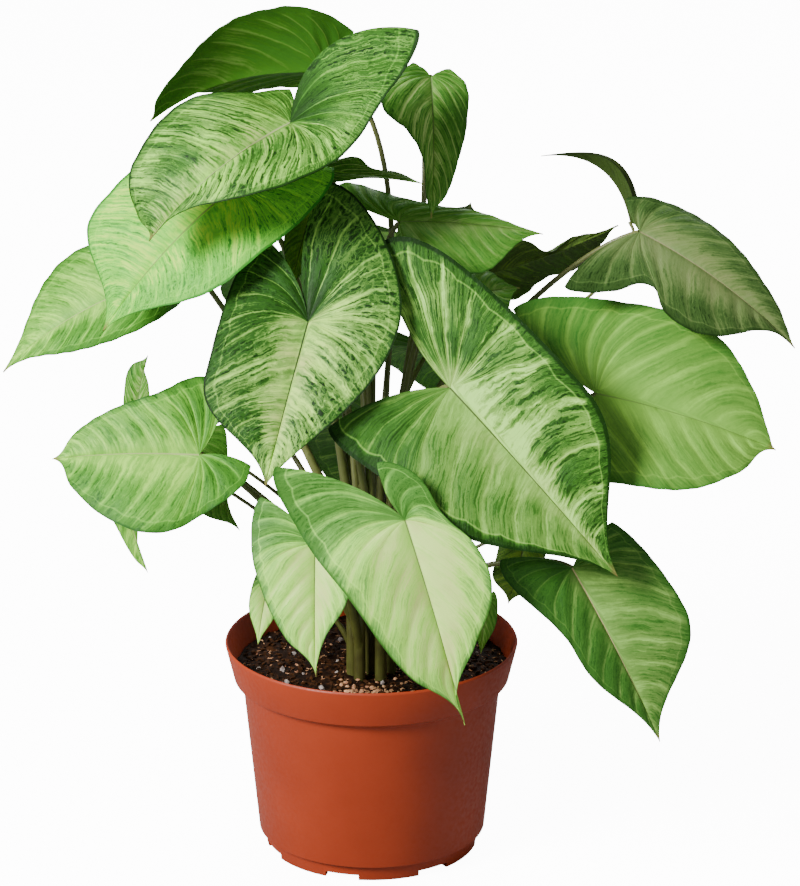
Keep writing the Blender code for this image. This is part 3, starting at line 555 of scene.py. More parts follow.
class Blade:
    """An arrow-shaped blade: seat of the stalk, tip, two lobes behind the seat and two sides.

    A side is one point, or some points in order from the lobe's end to the tip.
    """

    def __init__(self, seat, tip, face, lobes=None, sides=None, width=0, lobe=0, fold=0, arch=0, puff=2,
                 wave=0.9, notch_bulge=(1, 1), shoot="", look="", small=False, stalk_by=None,
                 stalk_lean=(0.75, 0.45)):
        self.seat = place(*seat)
        self.tip = place(*tip)
        self.length = np.linalg.norm(self.tip - self.seat)
        self.along = unit(self.tip - self.seat)
        facing = direction(*face)
        self.up = unit(facing - self.along * (facing @ self.along))
        self.left = np.cross(self.up, self.along)
        self.arch = arch * MM
        self.puff = puff * MM
        self.wave = wave * MM
        self.small = small
        self.notch_bulge = notch_bulge
        self.stalk_by = stalk_by
        self.stalk_lean = stalk_lean
        self.vein_lean = LOOKS[look]["lean"]
        if lobes:
            self.edges = [self.landmarks(end, side) for end, side in zip(lobes, sides)]
            self.edges.sort(key=lambda points: -(points[1] @ self.left))
        else:
            widest = WIDEST_AT * self.length / MM
            self.edges = [[self.offset(-LOBE_BACK * lobe, LOBE_OUT * lobe * k, fold / 2),
                           self.offset(widest, width / 2 * k, fold), self.tip] for k in (1, -1)]

    def offset(self, along, left, lift):
        """A point so many millimetres down the blade, to its left and over its plane."""
        return self.seat + (self.along * along + self.left * left + self.up * lift) * MM

    def landmarks(self, end, side):
        """The points that one half's outer edge runs through: lobe's end, side and tip."""
        spots = side if isinstance(side[0], tuple) else (side,)
        return [self.land(*end)] + [self.land(*spot) for spot in spots] + [self.tip]

    def land(self, across, down, lift):
        """The point under a pixel on the blade's plane, as it is before the blade is arched."""
        line = sight_line(across, down)
        height = lift * MM
        for _ in range(5):
            reach = ((self.seat - EYE) @ self.up + height) / (line @ self.up)
            point = EYE + line * reach
            height = lift * MM + self.rise((point - self.seat) @ self.along / self.length)
        return point - self.up * self.rise((point - self.seat) @ self.along / self.length)

    def rise(self, along):
        """Height of the arched midrib; behind the seat the lobes droop."""
        return self.arch * np.where(along > 0, 4 * along * (1 - along), DROOP_OF_LOBES * along)

    def notch_edge(self, k, t):
        """The inner edge of a lobe, from the seat to the lobe's end."""
        end, side = self.edges[k][:2]
        run = end - self.seat
        out = side - self.seat
        out = unit(out - unit(run) * (out @ unit(run))) * np.linalg.norm(run) * self.notch_bulge[k]
        first = self.seat + run * NOTCH_START_PULL - out * NOTCH_START_BULGE
        last = end - run * NOTCH_END_PULL - out * NOTCH_END_BULGE
        return bezier(self.seat, first, last, end, t)

    def margin(self, k, t):
        """The outer edge, from the lobe's end at 0 past the side's points to the tip at 1."""
        points = self.edges[k]
        steps = [np.linalg.norm(b - a) for a, b in zip(points, points[1:])]
        shares = np.cumsum([0] + steps) / sum(steps)
        headings = [unit(b - a) for a, b in zip(points, points[2:])] if len(points) > 3 else [self.along]
        run = unit(points[0] - self.seat)
        out = points[1] - points[0]
        out = unit(out - run * (out @ run))
        across = points[-2] - self.seat
        across = across - self.along * (across @ self.along)
        leave = [out * LOBE_ROUNDING + run * LOBE_OVERRUN] + [way * SIDE_PULL_ON for way in headings]
        arrive = [way * SIDE_PULL_BACK for way in headings]
        to_tip = self.along * min(self.length * TIP_PULL, steps[-1] * SIDE_PULL_ON) - across * TIP_BREADTH
        edge = np.zeros(t.shape + (3,))
        for i, (a, b) in enumerate(zip(points, points[1:])):
            last = b - arrive[i] * steps[i] if i < len(arrive) else b - to_tip
            here = np.clip((t - shares[i]) / (shares[i + 1] - shares[i]), 0, 1)
            stretch = bezier(a, a + leave[i] * steps[i], last, b, here)
            edge = np.where((t >= shares[i])[..., None], stretch, edge)
        return edge

    def relief(self, k, t, w):
        """Fine height: puffs between the side veins, the midrib's gutter and a frill at the margin."""
        if self.small:
            return 0 * t
        body = np.sin(pi * np.clip(w, 0, 1)) * np.clip((1 - t) * 6, 0, 1)
        count = SIDE_VEINS * (t - self.vein_lean[k] * w - VEIN_BEND * w * w) + 0.5 + VEIN_OFFSET * k
        puffs = np.abs(np.sin(pi * count)) - 0.5
        gutter = np.exp(-(w / MIDRIB_GUTTER_HALF_WIDTH) ** 2) * np.clip(t * 4 - 1, 0, 1)
        frill = np.sin(2 * pi * MARGIN_FRILLS * t + 3 * k) * w ** 8 * np.clip((1 - t) * 4, 0, 1)
        return PUFF_BETWEEN_VEINS * puffs * body - MIDRIB_GUTTER * gutter + MARGIN_FRILL * frill

    def half(self, k, t, w):
        """Points of one half: t along the margin, w from the midrib to the margin."""
        edge = self.margin(k, t)
        along = (edge - self.seat) @ self.along / self.length
        root = np.clip((along - RIB_FAN) / (1 - RIB_FAN), 0, 1)
        spine = self.seat + self.along * (root * self.length)[..., None]
        rib = np.linalg.norm(edge - spine, axis=-1)
        point = spine + (edge - spine) * w[..., None]
        straight = self.seat + (self.edges[k][0] - self.seat) * w[..., None]
        near_notch = np.clip(1 - t / NOTCH_FADES_BY, 0, 1) ** 2
        point += (self.notch_edge(k, w) - straight) * near_notch[..., None]
        swept = RIB_SWEEP * w * (1 - w) * np.clip(t / RIB_SWEEP_STARTS, 0, 1)
        point -= self.along * (swept * rib)[..., None]
        height = self.rise((point - self.seat) @ self.along / self.length)
        height = height + self.puff * 4 * w * (1 - w) * np.clip(2 * rib / self.length, 0, 1)
        if not self.small:
            wave = np.sin(2 * pi * MARGIN_WAVES * t + 2 * k) * (1 - t)
            height = height + self.wave * w ** 3 * wave
        height = height + self.relief(k, t, w)
        return point + self.up * height[..., None]

    def surface(self, t, v):
        """Points of the blade: v runs from -1 on the left margin to 1 on the right one."""
        left = self.half(0, t, np.abs(v))
        right = self.half(1, t, np.abs(v))
        return np.where((v < 0)[..., None], left, right)

    def stalk(self, cane):
        """Points from the cane to the underside of the blade's seat."""
        across, back, top = (value * MM for value in cane)
        end = self.seat - self.up * BLADE_THICKNESS
        share = (end[2] - LOWEST_SEAT) / (HIGHEST_SEAT - LOWEST_SEAT)
        share = np.clip(share, LEAST_SHARE_OF_CANE, MOST_SHARE_OF_CANE)
        start = np.array((across, back, LOWEST_STALK + (top - LOWEST_STALK) * share))
        way = end - start
        reach = np.linalg.norm(way)
        leave = start + way * (STALK_OUTWARD_PULL, STALK_OUTWARD_PULL, 0)
        leave[2] += reach * STALK_UPWARD_PULL
        under, behind = self.stalk_lean
        arrive = end - (self.up * under + self.along * behind) * reach * STALK_ARRIVAL_PULL
        t = np.linspace(0, 1, STALK_STEPS + 1)
        points = bezier(start, leave, arrive, end, t)
        if self.stalk_by:
            aside = place(*self.stalk_by) - bezier(start, leave, arrive, end, 0.5)
            points += aside * ((4 * t * (1 - t)) ** 2)[:, None]
        return points


def linear(colour):
    """Turns an sRGB hex colour into the linear values that a shader takes."""
    parts = [int(colour[i:i + 2], 16) / 255 for i in (1, 3, 5)]
    return tuple(p / 12.92 if p <= 0.04045 else ((p + 0.055) / 1.055) ** 2.4 for p in parts) + (1.0,)


def feed(socket, value):
    """Gives a socket its value, as a link from a node or socket or as numbers."""
    if isinstance(value, bpy.types.Node):
        value = value.outputs[0]
    if isinstance(value, bpy.types.NodeSocket):
        socket.id_data.links.new(value, socket)
    elif value is not None:
        socket.default_value = value


def add(tree, kind, *values, stops=(), **settings):
    """Adds a node. Values go to its inputs in order, and a ramp's stops are places with a colour each."""
    node = tree.nodes.new("ShaderNode" + kind)
    for key, value in settings.items():
        setattr(node, key, value)
    for socket, value in zip(node.inputs, values):
        feed(socket, value)
    for position, _ in stops[1:-1]:
        node.color_ramp.elements.new(position)
    if stops:
        for stop, (position, colour) in zip(node.color_ramp.elements, stops):
            stop.position = position
            stop.color = linear(colour)
    return node


def new_material(name, roughness, specular=0.5, ior=1.45):
    material = bpy.data.materials.new(name)
    material.use_nodes = True
    tree = material.node_tree
    shader = tree.nodes["Principled BSDF"]
    shader.inputs["Roughness"].default_value = roughness
    shader.inputs["Specular IOR Level"].default_value = specular
    shader.inputs["IOR"].default_value = ior
    return material, tree, shader


def leaf_tissue(tree, look, blade, seed):
    """How green each point of a blade is, from 0 on pale tissue to 1 on the darkest, and its veins."""
    ribs = add(tree, "SeparateXYZ", add(tree, "UVMap", uv_map="ribs"))
    sheet = add(tree, "UVMap", uv_map="sheet")
    side = add(tree, "Math", ribs.outputs["Y"], 0.5, operation="SUBTRACT")
    width = add(tree, "Math", add(tree, "Math", side, operation="ABSOLUTE"), 2.0, operation="MULTIPLY")
    right = add(tree, "Math", side, 0.0, operation="GREATER_THAN")
    lobe = add(tree, "MapRange", ribs.outputs["X"], LOBE_GREEN_FROM, look["reach"], 1.0, 0.0,
               interpolation_type="SMOOTHSTEP")

    # Side veins: they bend on towards the tip, and wander a little
    drift = add(tree, "TexNoise", sheet, seed, 1 / LEAF_PATCH, 2.0, noise_dimensions="4D")
    ruffle = add(tree, "TexNoise", sheet, seed + 5.0, 1 / LEAF_RUFFLE, 3.0, 0.6, noise_dimensions="4D")
    wander = add(tree, "Math", drift, VEIN_WANDER, -VEIN_WANDER / 2, operation="MULTIPLY_ADD")
    lean = add(tree, "MapRange", right, 0.0, 1.0, *(-share for share in blade.vein_lean))
    lean = add(tree, "Math", width, lean, wander, operation="MULTIPLY_ADD")
    bend = add(tree, "Math", add(tree, "Math", width, width, operation="MULTIPLY"), -VEIN_BEND, lean,
               operation="MULTIPLY_ADD")
    way = add(tree, "Math", ribs.outputs["X"], bend, operation="ADD")
    count = add(tree, "Math", way, SIDE_VEINS, 0.5, operation="MULTIPLY_ADD")
    count = add(tree, "Math", right, VEIN_OFFSET, count, operation="MULTIPLY_ADD")
    off_vein = add(tree, "Math", count, 0.5, operation="PINGPONG")
    off_vein = add(tree, "Math", off_vein, 2.0, operation="MULTIPLY")
    ragged = add(tree, "Math", ruffle, 0.5, operation="SUBTRACT")
    off_vein = add(tree, "Math", ragged, VEIN_RAGGEDNESS, off_vein, operation="MULTIPLY_ADD")
    halo_reach = add(tree, "MapRange", width, 0.1, 0.9, *HALO_REACH)
    halo = add(tree, "MapRange", off_vein, 0.0, halo_reach, 1.0, 0.0, interpolation_type="SMOOTHSTEP")
    vein = add(tree, "MapRange", off_vein, 0.0, look["breadth"], 1.0, 0.0, interpolation_type="SMOOTHSTEP")
    between = add(tree, "MapRange", off_vein, 0.85, 1.0, 0.0, 0.45, interpolation_type="SMOOTHSTEP")
    outwards = add(tree, "MapRange", width, 0.35, 0.75, 0.0, 1.0)
    between = add(tree, "Math", between, outwards, operation="MULTIPLY")
    vein = add(tree, "Math", vein, between, operation="MAXIMUM")
    vein = add(tree, "Math", vein, add(tree, "MapRange", width, 0.0, 0.3, 0.3, 1.0), operation="MULTIPLY")

    # The collective vein runs along the margin in shallow arcs from side vein to side vein
    swing = add(tree, "Math", off_vein, off_vein, operation="MULTIPLY")
    arcs = add(tree, "Math", swing, ARC_SWING, width, operation="MULTIPLY_ADD")
    arcs = add(tree, "Math", drift, ARC_DRIFT, arcs, operation="MULTIPLY_ADD")
    off_arc = add(tree, "Math", arcs, COLLECTIVE_VEIN_AT + ARC_DRIFT / 2, operation="SUBTRACT")
    collective = add(tree, "MapRange", add(tree, "Math", off_arc, operation="ABSOLUTE"), 0.0,
                     COLLECTIVE_VEIN_HALF_WIDTH, look["collective"], 0.0, interpolation_type="SMOOTHSTEP")
    inside = add(tree, "MapRange", arcs, COLLECTIVE_VEIN_AT, COLLECTIVE_VEIN_AT + VEINS_FADE_OVER, 1.0, 0.0)

    # Streaks that run along the side veins, and netting in cells that are longer the same way
    across_cells = blade.length / NET_CELL
    along_cells = HALF_TO_LENGTH * blade.length / (NET_CELL * NET_STRETCH)
    place_in = add(tree, "CombineXYZ", way, width, right)
    grain = (across_cells * STREAKS_PER_CELL[0], along_cells * STREAKS_PER_CELL[1], HALVES_APART)
    grain = add(tree, "VectorMath", place_in, grain, operation="MULTIPLY")
    grain = add(tree, "VectorMath", ruffle.outputs["Color"], STREAK_PUSH, grain, operation="MULTIPLY_ADD")
    streaks = add(tree, "TexNoise", grain, seed + 3.0, 1.0, 3.0, 0.6, noise_dimensions="4D")
    ridge = add(tree, "Math", add(tree, "Math", streaks, 0.5, operation="SUBTRACT"), operation="ABSOLUTE")
    threads = add(tree, "MapRange", ridge, 0.0, THREAD_WIDTH, 1.0, 0.0, interpolation_type="SMOOTHSTEP")
    cells = (across_cells, along_cells, HALVES_APART)
    cells = add(tree, "VectorMath", place_in, cells, operation="MULTIPLY")
    cells = add(tree, "VectorMath", ruffle.outputs["Color"], CELL_PUSH, cells, operation="MULTIPLY_ADD")
    net = add(tree, "TexVoronoi", cells, None, 1.0, feature="DISTANCE_TO_EDGE")
    net = add(tree, "MapRange", net, 0.0, NET_LINE_WIDTH, look["net"], 0.0, interpolation_type="SMOOTHSTEP")
    net = add(tree, "Math", add(tree, "Math", threads, look["threads"], operation="MULTIPLY"), net,
              operation="MAXIMUM")
    net = add(tree, "Math", net, add(tree, "MapRange", width, 0.1, 0.5, 0.3, 1.0), operation="MULTIPLY")

    # How green the tissue is
    core = look["core"]
    middle, outside, fuller, calm = (add(tree, "MapRange", right, 0.0, 1.0, *look[key])
                                     for key in ("middle", "field", "lobes", "calm"))
    field = add(tree, "MapRange", width, core, core + 0.5, middle, outside, interpolation_type="SMOOTHSTEP")
    field = add(tree, "Math", lobe, fuller, field, operation="MULTIPLY_ADD")
    busy = add(tree, "Math", 1.0, calm, operation="SUBTRACT")
    lively = add(tree, "Math", busy, add(tree, "MapRange", width, 0.0, 0.35, 0.35, 1.0), operation="MULTIPLY")
    marks = add(tree, "Math", halo, -0.6 * look["halo"], operation="MULTIPLY")
    for noise, share in ((drift, PATCH_SHARE), (streaks, STREAK_SHARE), (ruffle, RUFFLE_SHARE)):
        marks = add(tree, "Math", add(tree, "Math", noise, 0.5, operation="SUBTRACT"), share * look["flecks"],
                    marks, operation="MULTIPLY_ADD")
    field = add(tree, "Math", marks, lively, field, operation="MULTIPLY_ADD")
    outer = add(tree, "MapRange", arcs, COLLECTIVE_VEIN_AT + 0.02, 1.0, 0.0, look["beyond"])
    field = add(tree, "Math", field, outer, operation="ADD", use_clamp=True)
    lines = add(tree, "Math", net, add(tree, "Math", lively, 0.6, operation="MULTIPLY"), operation="MULTIPLY")
    clear = add(tree, "MapRange", busy, 0.0, 1.0, 0.3 * look["veins"], look["veins"])
    veins = add(tree, "Math", vein, inside, operation="MULTIPLY")
    veins = add(tree, "Math", veins, clear, operation="MULTIPLY")
    for pale in (lines, veins, collective):
        kept = add(tree, "Math", 1.0, pale, operation="SUBTRACT")
        field = add(tree, "Math", field, kept, operation="MULTIPLY")
    ragged = add(tree, "Math", streaks, look["band"], width, operation="MULTIPLY_ADD")
    rim = add(tree, "MapRange", ragged, 1.0 - look["band"] * 0.6, 1.0, 0.0, look["edge"])
    field = add(tree, "Math", field, rim, operation="MAXIMUM")
    raised = add(tree, "Math", veins, net, operation="MAXIMUM")
    return field, raised, width, drift, ruffle, ribs.outputs["X"]


def leaf_midrib(tree, blade):
    """1 on the midrib, which narrows towards the tip, and 0 beside it."""
    sheet = add(tree, "SeparateXYZ", add(tree, "UVMap", uv_map="sheet"))
    beside = add(tree, "Math", sheet.outputs["Y"], operation="ABSOLUTE")
    half = add(tree, "MapRange", sheet.outputs["X"], 0.0, blade.length, MIDRIB_WIDTH, 0.3 * MIDRIB_WIDTH)
    off = add(tree, "Math", beside, half, operation="DIVIDE")
    rib = add(tree, "MapRange", off, 0.35, 0.9, 1.0, 0.0)
    ahead = add(tree, "Math", sheet.outputs["X"], 0.0, operation="GREATER_THAN")
    return add(tree, "Math", rib, ahead, operation="MULTIPLY")


def leaf_upper_skin(name, look, blade, seed):
    """Upper skin of a variegated leaf: a waxed cuticle, satin, over chlorophyll green and pale tissue."""
    material, tree, shader = new_material(name, roughness=0.5, specular=0.15)
    field, raised, width, drift, ruffle, ribs = leaf_tissue(tree, look, blade, seed)
    greens = ((0.0, look["pale"]), (0.3, look["light"]), (0.62, look["green"]), (1.0, look["dark"]))
    inner = add(tree, "MapRange", width, 0.1, 0.7, look["blush"], 0.0)
    patch = add(tree, "MapRange", drift, 0.42, 0.62, 0.0, 1.0, interpolation_type="SMOOTHSTEP")
    pale = add(tree, "MapRange", field, 0.0, 0.45, 0.8, 0.0)
    for part in (patch, pale):
        inner = add(tree, "Math", inner, part, operation="MULTIPLY")
    hem = add(tree, "MapRange", width, *HEM, 0.0, HEM_STRENGTH)
    tip = add(tree, "MapRange", ribs, *HEM, 0.0, HEM_STRENGTH)
    layers = ((inner, BLUSH), (leaf_midrib(tree, blade), look["midrib"]), (hem, look["dark"]), (tip, DRY_TIP))
    colour = add(tree, "ValToRGB", field, stops=greens)
    for share, tint in layers:
        layer = add(tree, "Mix", share, data_type="RGBA")
        feed(layer.inputs["A"], colour)
        feed(layer.inputs["B"], linear(tint))
        colour = layer.outputs["Result"]
    feed(shader.inputs["Base Color"], colour)
    puckers = add(tree, "Math", raised, -1.0, ruffle, operation="MULTIPLY_ADD")
    feed(shader.inputs["Normal"], add(tree, "Bump", 0.35, 0.5 * MM, None, puckers))
    return material


def leaf_underside(name, look, blade, seed):
    """Underside of a leaf: duller, more even tissue with paler veins that stand proud of it."""
    material, tree, shader = new_material(name, roughness=0.6, specular=0.2)
    field, raised, _, drift, *_ = leaf_tissue(tree, look, blade, seed)
    patchy = add(tree, "Math", drift, 0.4, field, operation="MULTIPLY_ADD")
    greens = ((0.25, look["light"]), (0.6, look["under"]), (1.0, look["green"]))
    feed(shader.inputs["Base Color"], add(tree, "ValToRGB", patchy, stops=greens))
    feed(shader.inputs["Normal"], add(tree, "Bump", 0.45, 0.5 * MM, None, raised))
    return material


def new_object(name, data):
    """A new object in the scene."""
    thing = bpy.data.objects.new(name, data)
    bpy.context.scene.collection.objects.link(thing)
    return thing


def activate(piece):
    bpy.ops.object.select_all(action="DESELECT")
    piece.select_set(True)
    bpy.context.view_layer.objects.active = piece


def finish_piece(piece, slot, *nodes):
    """Puts a piece on the root body and hides its nodes; its slot is not used."""
    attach(piece, "root")
    if nodes:
        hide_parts(*nodes)


def apply_modifiers(piece):
    activate(piece)
    for modifier in list(piece.modifiers):
        bpy.ops.object.modifier_apply(modifier=modifier.name)


def build_leaf(name, sizes, seed):
    """A fine blade from a grid that is bent to the leaf's shape, thickened, with its midrib below."""
    blade = Blade(**sizes)
    look = LOOKS[sizes["look"]]
    lengthwise, halfwidth = SMALL_GRID if blade.small else LARGE_GRID
    bpy.ops.mesh.primitive_grid_add(x_subdivisions=2 * halfwidth, y_subdivisions=lengthwise, size=2)
    leaf = bpy.context.object
    leaf.name = f"{name}_blade"
    mesh = leaf.data
    flat = np.empty(len(mesh.vertices) * 3)
    mesh.vertices.foreach_get("co", flat)
    flat = flat.reshape(-1, 3)
    way = (flat[:, 1] + 1) / 2
    across = flat[:, 0]
    shaped = blade.surface(way, across)
    mesh.vertices.foreach_set("co", shaped.ravel())
    corner = np.empty(len(mesh.loops), dtype=int)
    mesh.loops.foreach_get("vertex_index", corner)
    mesh.uv_layers[0].name = "ribs"
    ribs = np.stack((way, (across + 1) / 2), axis=1)[corner]
    mesh.uv_layers["ribs"].uv.foreach_set("vector", ribs.ravel())
    mesh.uv_layers.new(name="sheet")
    sheet = np.stack(((shaped - blade.seat) @ blade.along, (shaped - blade.seat) @ blade.left), axis=1)
    mesh.uv_layers["sheet"].uv.foreach_set("vector", sheet[corner].ravel())
    activate(leaf)
    bpy.ops.object.mode_set(mode="EDIT")
    bpy.ops.mesh.select_all(action="SELECT")
    bpy.ops.mesh.remove_doubles(threshold=MERGE)
    bpy.ops.mesh.dissolve_degenerate(threshold=MERGE)
    bpy.ops.object.mode_set(mode="OBJECT")
    mesh.materials.append(leaf_upper_skin(f"{sizes['look']} leaf skin {name}", look, blade, seed))
    mesh.materials.append(leaf_underside(f"{sizes['look']} leaf underside {name}", look, blade, seed))
    thicken = leaf.modifiers.new("thicken", "SOLIDIFY")
    thicken.thickness = BLADE_THICKNESS
    thicken.offset = 0
    thicken.material_offset = 1
    apply_modifiers(leaf)
    bpy.ops.object.shade_smooth_by_angle(angle=BLADE_EDGE_ANGLE)
    finish_piece(leaf, frame_slot(name), name)
    return blade


def frame_slot(node):
    """The material slot that the record gives to a node."""
    for row in frame["record"]["subparts"]:
        if row["node"] == node:
            return row["material_slot"]
    return None


def tube(name, points, radii):
    """A smooth closed tube along the points."""
    curve = bpy.data.curves.new(name, "CURVE")
    curve.dimensions = "3D"
    curve.bevel_depth = 1.0
    curve.bevel_resolution = TUBE_RESOLUTION
    curve.use_fill_caps = True
    spline = curve.splines.new("POLY")
    spline.points.add(len(points) - 1)
    for knot, point, radius in zip(spline.points, points, radii):
        knot.co = (*point, 1)
        knot.radius = radius
    activate(new_object(name, curve))
    bpy.ops.object.convert(target="MESH")
    return bpy.context.object


def stalk_skin():
    """Fleshy stalk skin: dark brown-olive at the foot and lighter olive higher up, with fine lengthwise
    fibres.
    """
    material, tree, shader = new_material("fleshy stalk skin", roughness=0.42)
    place_on = add(tree, "TexCoord").outputs["Object"]
    split = add(tree, "SeparateXYZ", place_on)
    long_grain = add(tree, "Mapping", place_on, None, None, (1.0, 1.0, STALK_FIBRE_STRETCH))
    fibres = add(tree, "TexNoise", long_grain, None, 1 / STALK_FIBRE, 3.0)
    height = add(tree, "MapRange", split.outputs["Z"], *DARK_TO_OLIVE_BETWEEN, 0.0, 1.0)
    blotches = add(tree, "TexNoise", place_on, None, 1 / STALK_BLOTCH, 3.0)
    height = add(tree, "Math", blotches, 0.5, height, operation="MULTIPLY_ADD")
    # Darker and browner towards the foot of the stalks, lighter olive higher up, with blotches
    browns = ((0.1, "#332E12"), (0.5, "#5A5F29"), (1.0, "#6C7240"))
    tint = add(tree, "Mix", 0.5, data_type="RGBA", blend_type="MULTIPLY")
    feed(tint.inputs["A"], add(tree, "ValToRGB", height, stops=browns))
    feed(tint.inputs["B"], add(tree, "MapRange", fibres, 0.3, 0.7, 0.55, 1.2))
    feed(shader.inputs["Base Color"], tint.outputs["Result"])
    feed(shader.inputs["Normal"], add(tree, "Bump", 0.3, 0.2 * MM, None, fibres))
    return material


def build_shoot(letter, blades, skin):
    """A cane with its leaf stalks, whose sheaths are wide at the foot."""
    across, back, top = (value * MM for value in CANES[letter])
    low = SOIL_EDGE_HEIGHT - CANE_IN_SOIL
    heights = np.linspace(low, top, CANE_STEPS)
    points = [(across, back, height) for height in heights]
    radii = np.interp(heights, [low, LOWEST_STALK, top - CANE_ROUND_TOP, top],
                      [CANE_FOOT_RADIUS, CANE_FOOT_RADIUS, CANE_TOP_RADIUS, 0.4 * CANE_TOP_RADIUS])
    parts = [tube(f"shoot_{letter}_stalks", points, radii)]
    steps = np.linspace(0, 1, STALK_STEPS + 1)
    for name, blade in blades.items():
        radius = SMALL_STALK_RADIUS if blade.small else STALK_RADIUS
        radii = radius * np.interp(steps, STALK_TAPER_AT, STALK_TAPER)
        parts.append(tube(f"stalk_{name}", blade.stalk(CANES[letter]), radii))
    bpy.ops.object.select_all(action="DESELECT")
    for part in parts:
        part.select_set(True)
    shoot = parts[0]
    bpy.context.view_layer.objects.active = shoot
    bpy.ops.object.join()
    shoot.data.materials.clear()
    shoot.data.materials.append(skin)
    bpy.ops.object.shade_smooth_by_angle(angle=SOFT_EDGE_ANGLE)
    finish_piece(shoot, "stalk_skin", f"shoot_{letter}")


def pot_plastic():
    """Injection moulded polypropylene in terracotta: satin, with faint flow marks and dusty scuffs."""
    material, tree, shader = new_material("moulded polypropylene", roughness=0.42, specular=0.35, ior=1.49)
    place_on = add(tree, "TexCoord").outputs["Object"]
    flow = add(tree, "TexNoise", place_on, None, 1 / MOULD_FLOW, 3.0)
    scuff = add(tree, "TexNoise", place_on, None, 1 / MOULD_SCUFF, 4.0)
    shade = add(tree, "MapRange", flow, 0.3, 0.7, 0.0, 1.0)
    clays = ((0.0, "#90300F"), (1.0, "#9C3716"))
    feed(shader.inputs["Base Color"], add(tree, "ValToRGB", shade, stops=clays))
    feed(shader.inputs["Roughness"], add(tree, "MapRange", scuff, 0.35, 0.7, 0.42, 0.6))
    feed(shader.inputs["Normal"], add(tree, "Bump", 0.12, 0.1 * MM, None, scuff))
    return material


def turned(name, profile, sides):
    """A shape drawn up from a ring: each further ring is extruded, sized and lifted."""
    radius, height = profile[0]
    bpy.ops.mesh.primitive_circle_add(vertices=sides, radius=radius, location=(0, 0, height),
                                      fill_type="TRIFAN")
    piece = bpy.context.object
    piece.name = name
    bpy.ops.object.transform_apply(location=True)
    bpy.ops.object.mode_set(mode="EDIT")
    bpy.ops.mesh.select_all(action="SELECT")
    bpy.ops.mesh.region_to_loop()
    for radius_now, height_now in profile[1:]:
        grow = radius_now / radius
        bpy.ops.mesh.extrude_edges_move(TRANSFORM_OT_translate={"value": (0, 0, height_now - height)})
        bpy.ops.transform.resize(value=(grow, grow, 1), center_override=(0, 0, height_now))
        radius, height = radius_now, height_now
    bpy.ops.mesh.edge_face_add()
    bpy.ops.mesh.poke()
    bpy.ops.mesh.select_all(action="SELECT")
    bpy.ops.mesh.normals_make_consistent(inside=False)
    bpy.ops.object.mode_set(mode="OBJECT")
    return piece


def cut_away(piece, cutters):
    """Cuts every cutter out of a piece."""
    for cutter in cutters:
        cut = piece.modifiers.new("cut", "BOOLEAN")
        cut.operation = "DIFFERENCE"
        cut.object = cutter
        cut.solver = "EXACT"
    apply_modifiers(piece)
    for cutter in cutters:
        bpy.data.objects.remove(cutter)


def build_pot():
    inside = [
        (FOOT_RADIUS - WALL, CHANNEL_HEIGHT + WALL),
        (WALL_FOOT_RADIUS - WALL, FOOT_HEIGHT + WALL),
        (NECK_RADIUS - WALL, POT_HEIGHT - RIM_BAND - NECK_STEP + WALL),
        (RIM_BAND_FOOT_RADIUS - WALL, POT_HEIGHT - RIM_BAND + WALL),
        (RIM_RADIUS - WALL, POT_HEIGHT - RIM_LIP),
    ]
    outside = [
        (RIM_RADIUS - WALL / 2, POT_HEIGHT),
        (RIM_RADIUS, POT_HEIGHT - RIM_LIP),
        (RIM_BAND_FOOT_RADIUS, POT_HEIGHT - RIM_BAND),
        (NECK_RADIUS, POT_HEIGHT - RIM_BAND - NECK_STEP),
        (WALL_FOOT_RADIUS, FOOT_HEIGHT),
        (FOOT_RADIUS, FOOT_HEIGHT - WALL / 2),
        (FOOT_RADIUS - WALL / 2, 0),
    ]
    underside = [
        (FOOT_RADIUS - FOOT_THICKNESS, 0),
        (FOOT_RADIUS - FOOT_THICKNESS, CHANNEL_HEIGHT),
        (CHANNEL_INNER_RADIUS, CHANNEL_HEIGHT),
        (CHANNEL_INNER_RADIUS, 0),
    ]
    pot = turned("pot_shell", inside + outside + underside, POT_SIDES)
    soften = pot.modifiers.new("soften", "BEVEL")
    soften.width = EDGE_ROUNDING
    soften.segments = 2
    soften.limit_method = "ANGLE"
    soften.angle_limit = ROUNDED_EDGE_ANGLE
    apply_modifiers(pot)
    cutters = []
    drain_ring = (CHANNEL_INNER_RADIUS + FOOT_RADIUS - FOOT_THICKNESS) / 2
    for index in range(NOTCHES):
        angle = FIRST_NOTCH_ANGLE + index * 2 * pi / NOTCHES
        at = (cos(angle) * FOOT_RADIUS, sin(angle) * FOOT_RADIUS, 0)
        bpy.ops.mesh.primitive_cube_add(size=1, location=at, rotation=(0, 0, angle))
        notch = bpy.context.object
        notch.scale = (FOOT_THICKNESS * 3, NOTCH_WIDTH, NOTCH_HEIGHT * 2)
        cutters.append(notch)
        at = (cos(angle) * drain_ring, sin(angle) * drain_ring, CHANNEL_HEIGHT * 1.25)
        bpy.ops.mesh.primitive_cylinder_add(vertices=DRAIN_SIDES, radius=DRAIN_RADIUS,
                                            depth=CHANNEL_HEIGHT * 1.5, location=at)
        cutters.append(bpy.context.object)
    cut_away(pot, cutters)
    activate(pot)
    bpy.ops.object.shade_smooth_by_angle(angle=POT_EDGE_ANGLE)
    pot.data.materials.clear()
    pot.data.materials.append(pot_plastic())
    finish_piece(pot, "pot_plastic", "pot")


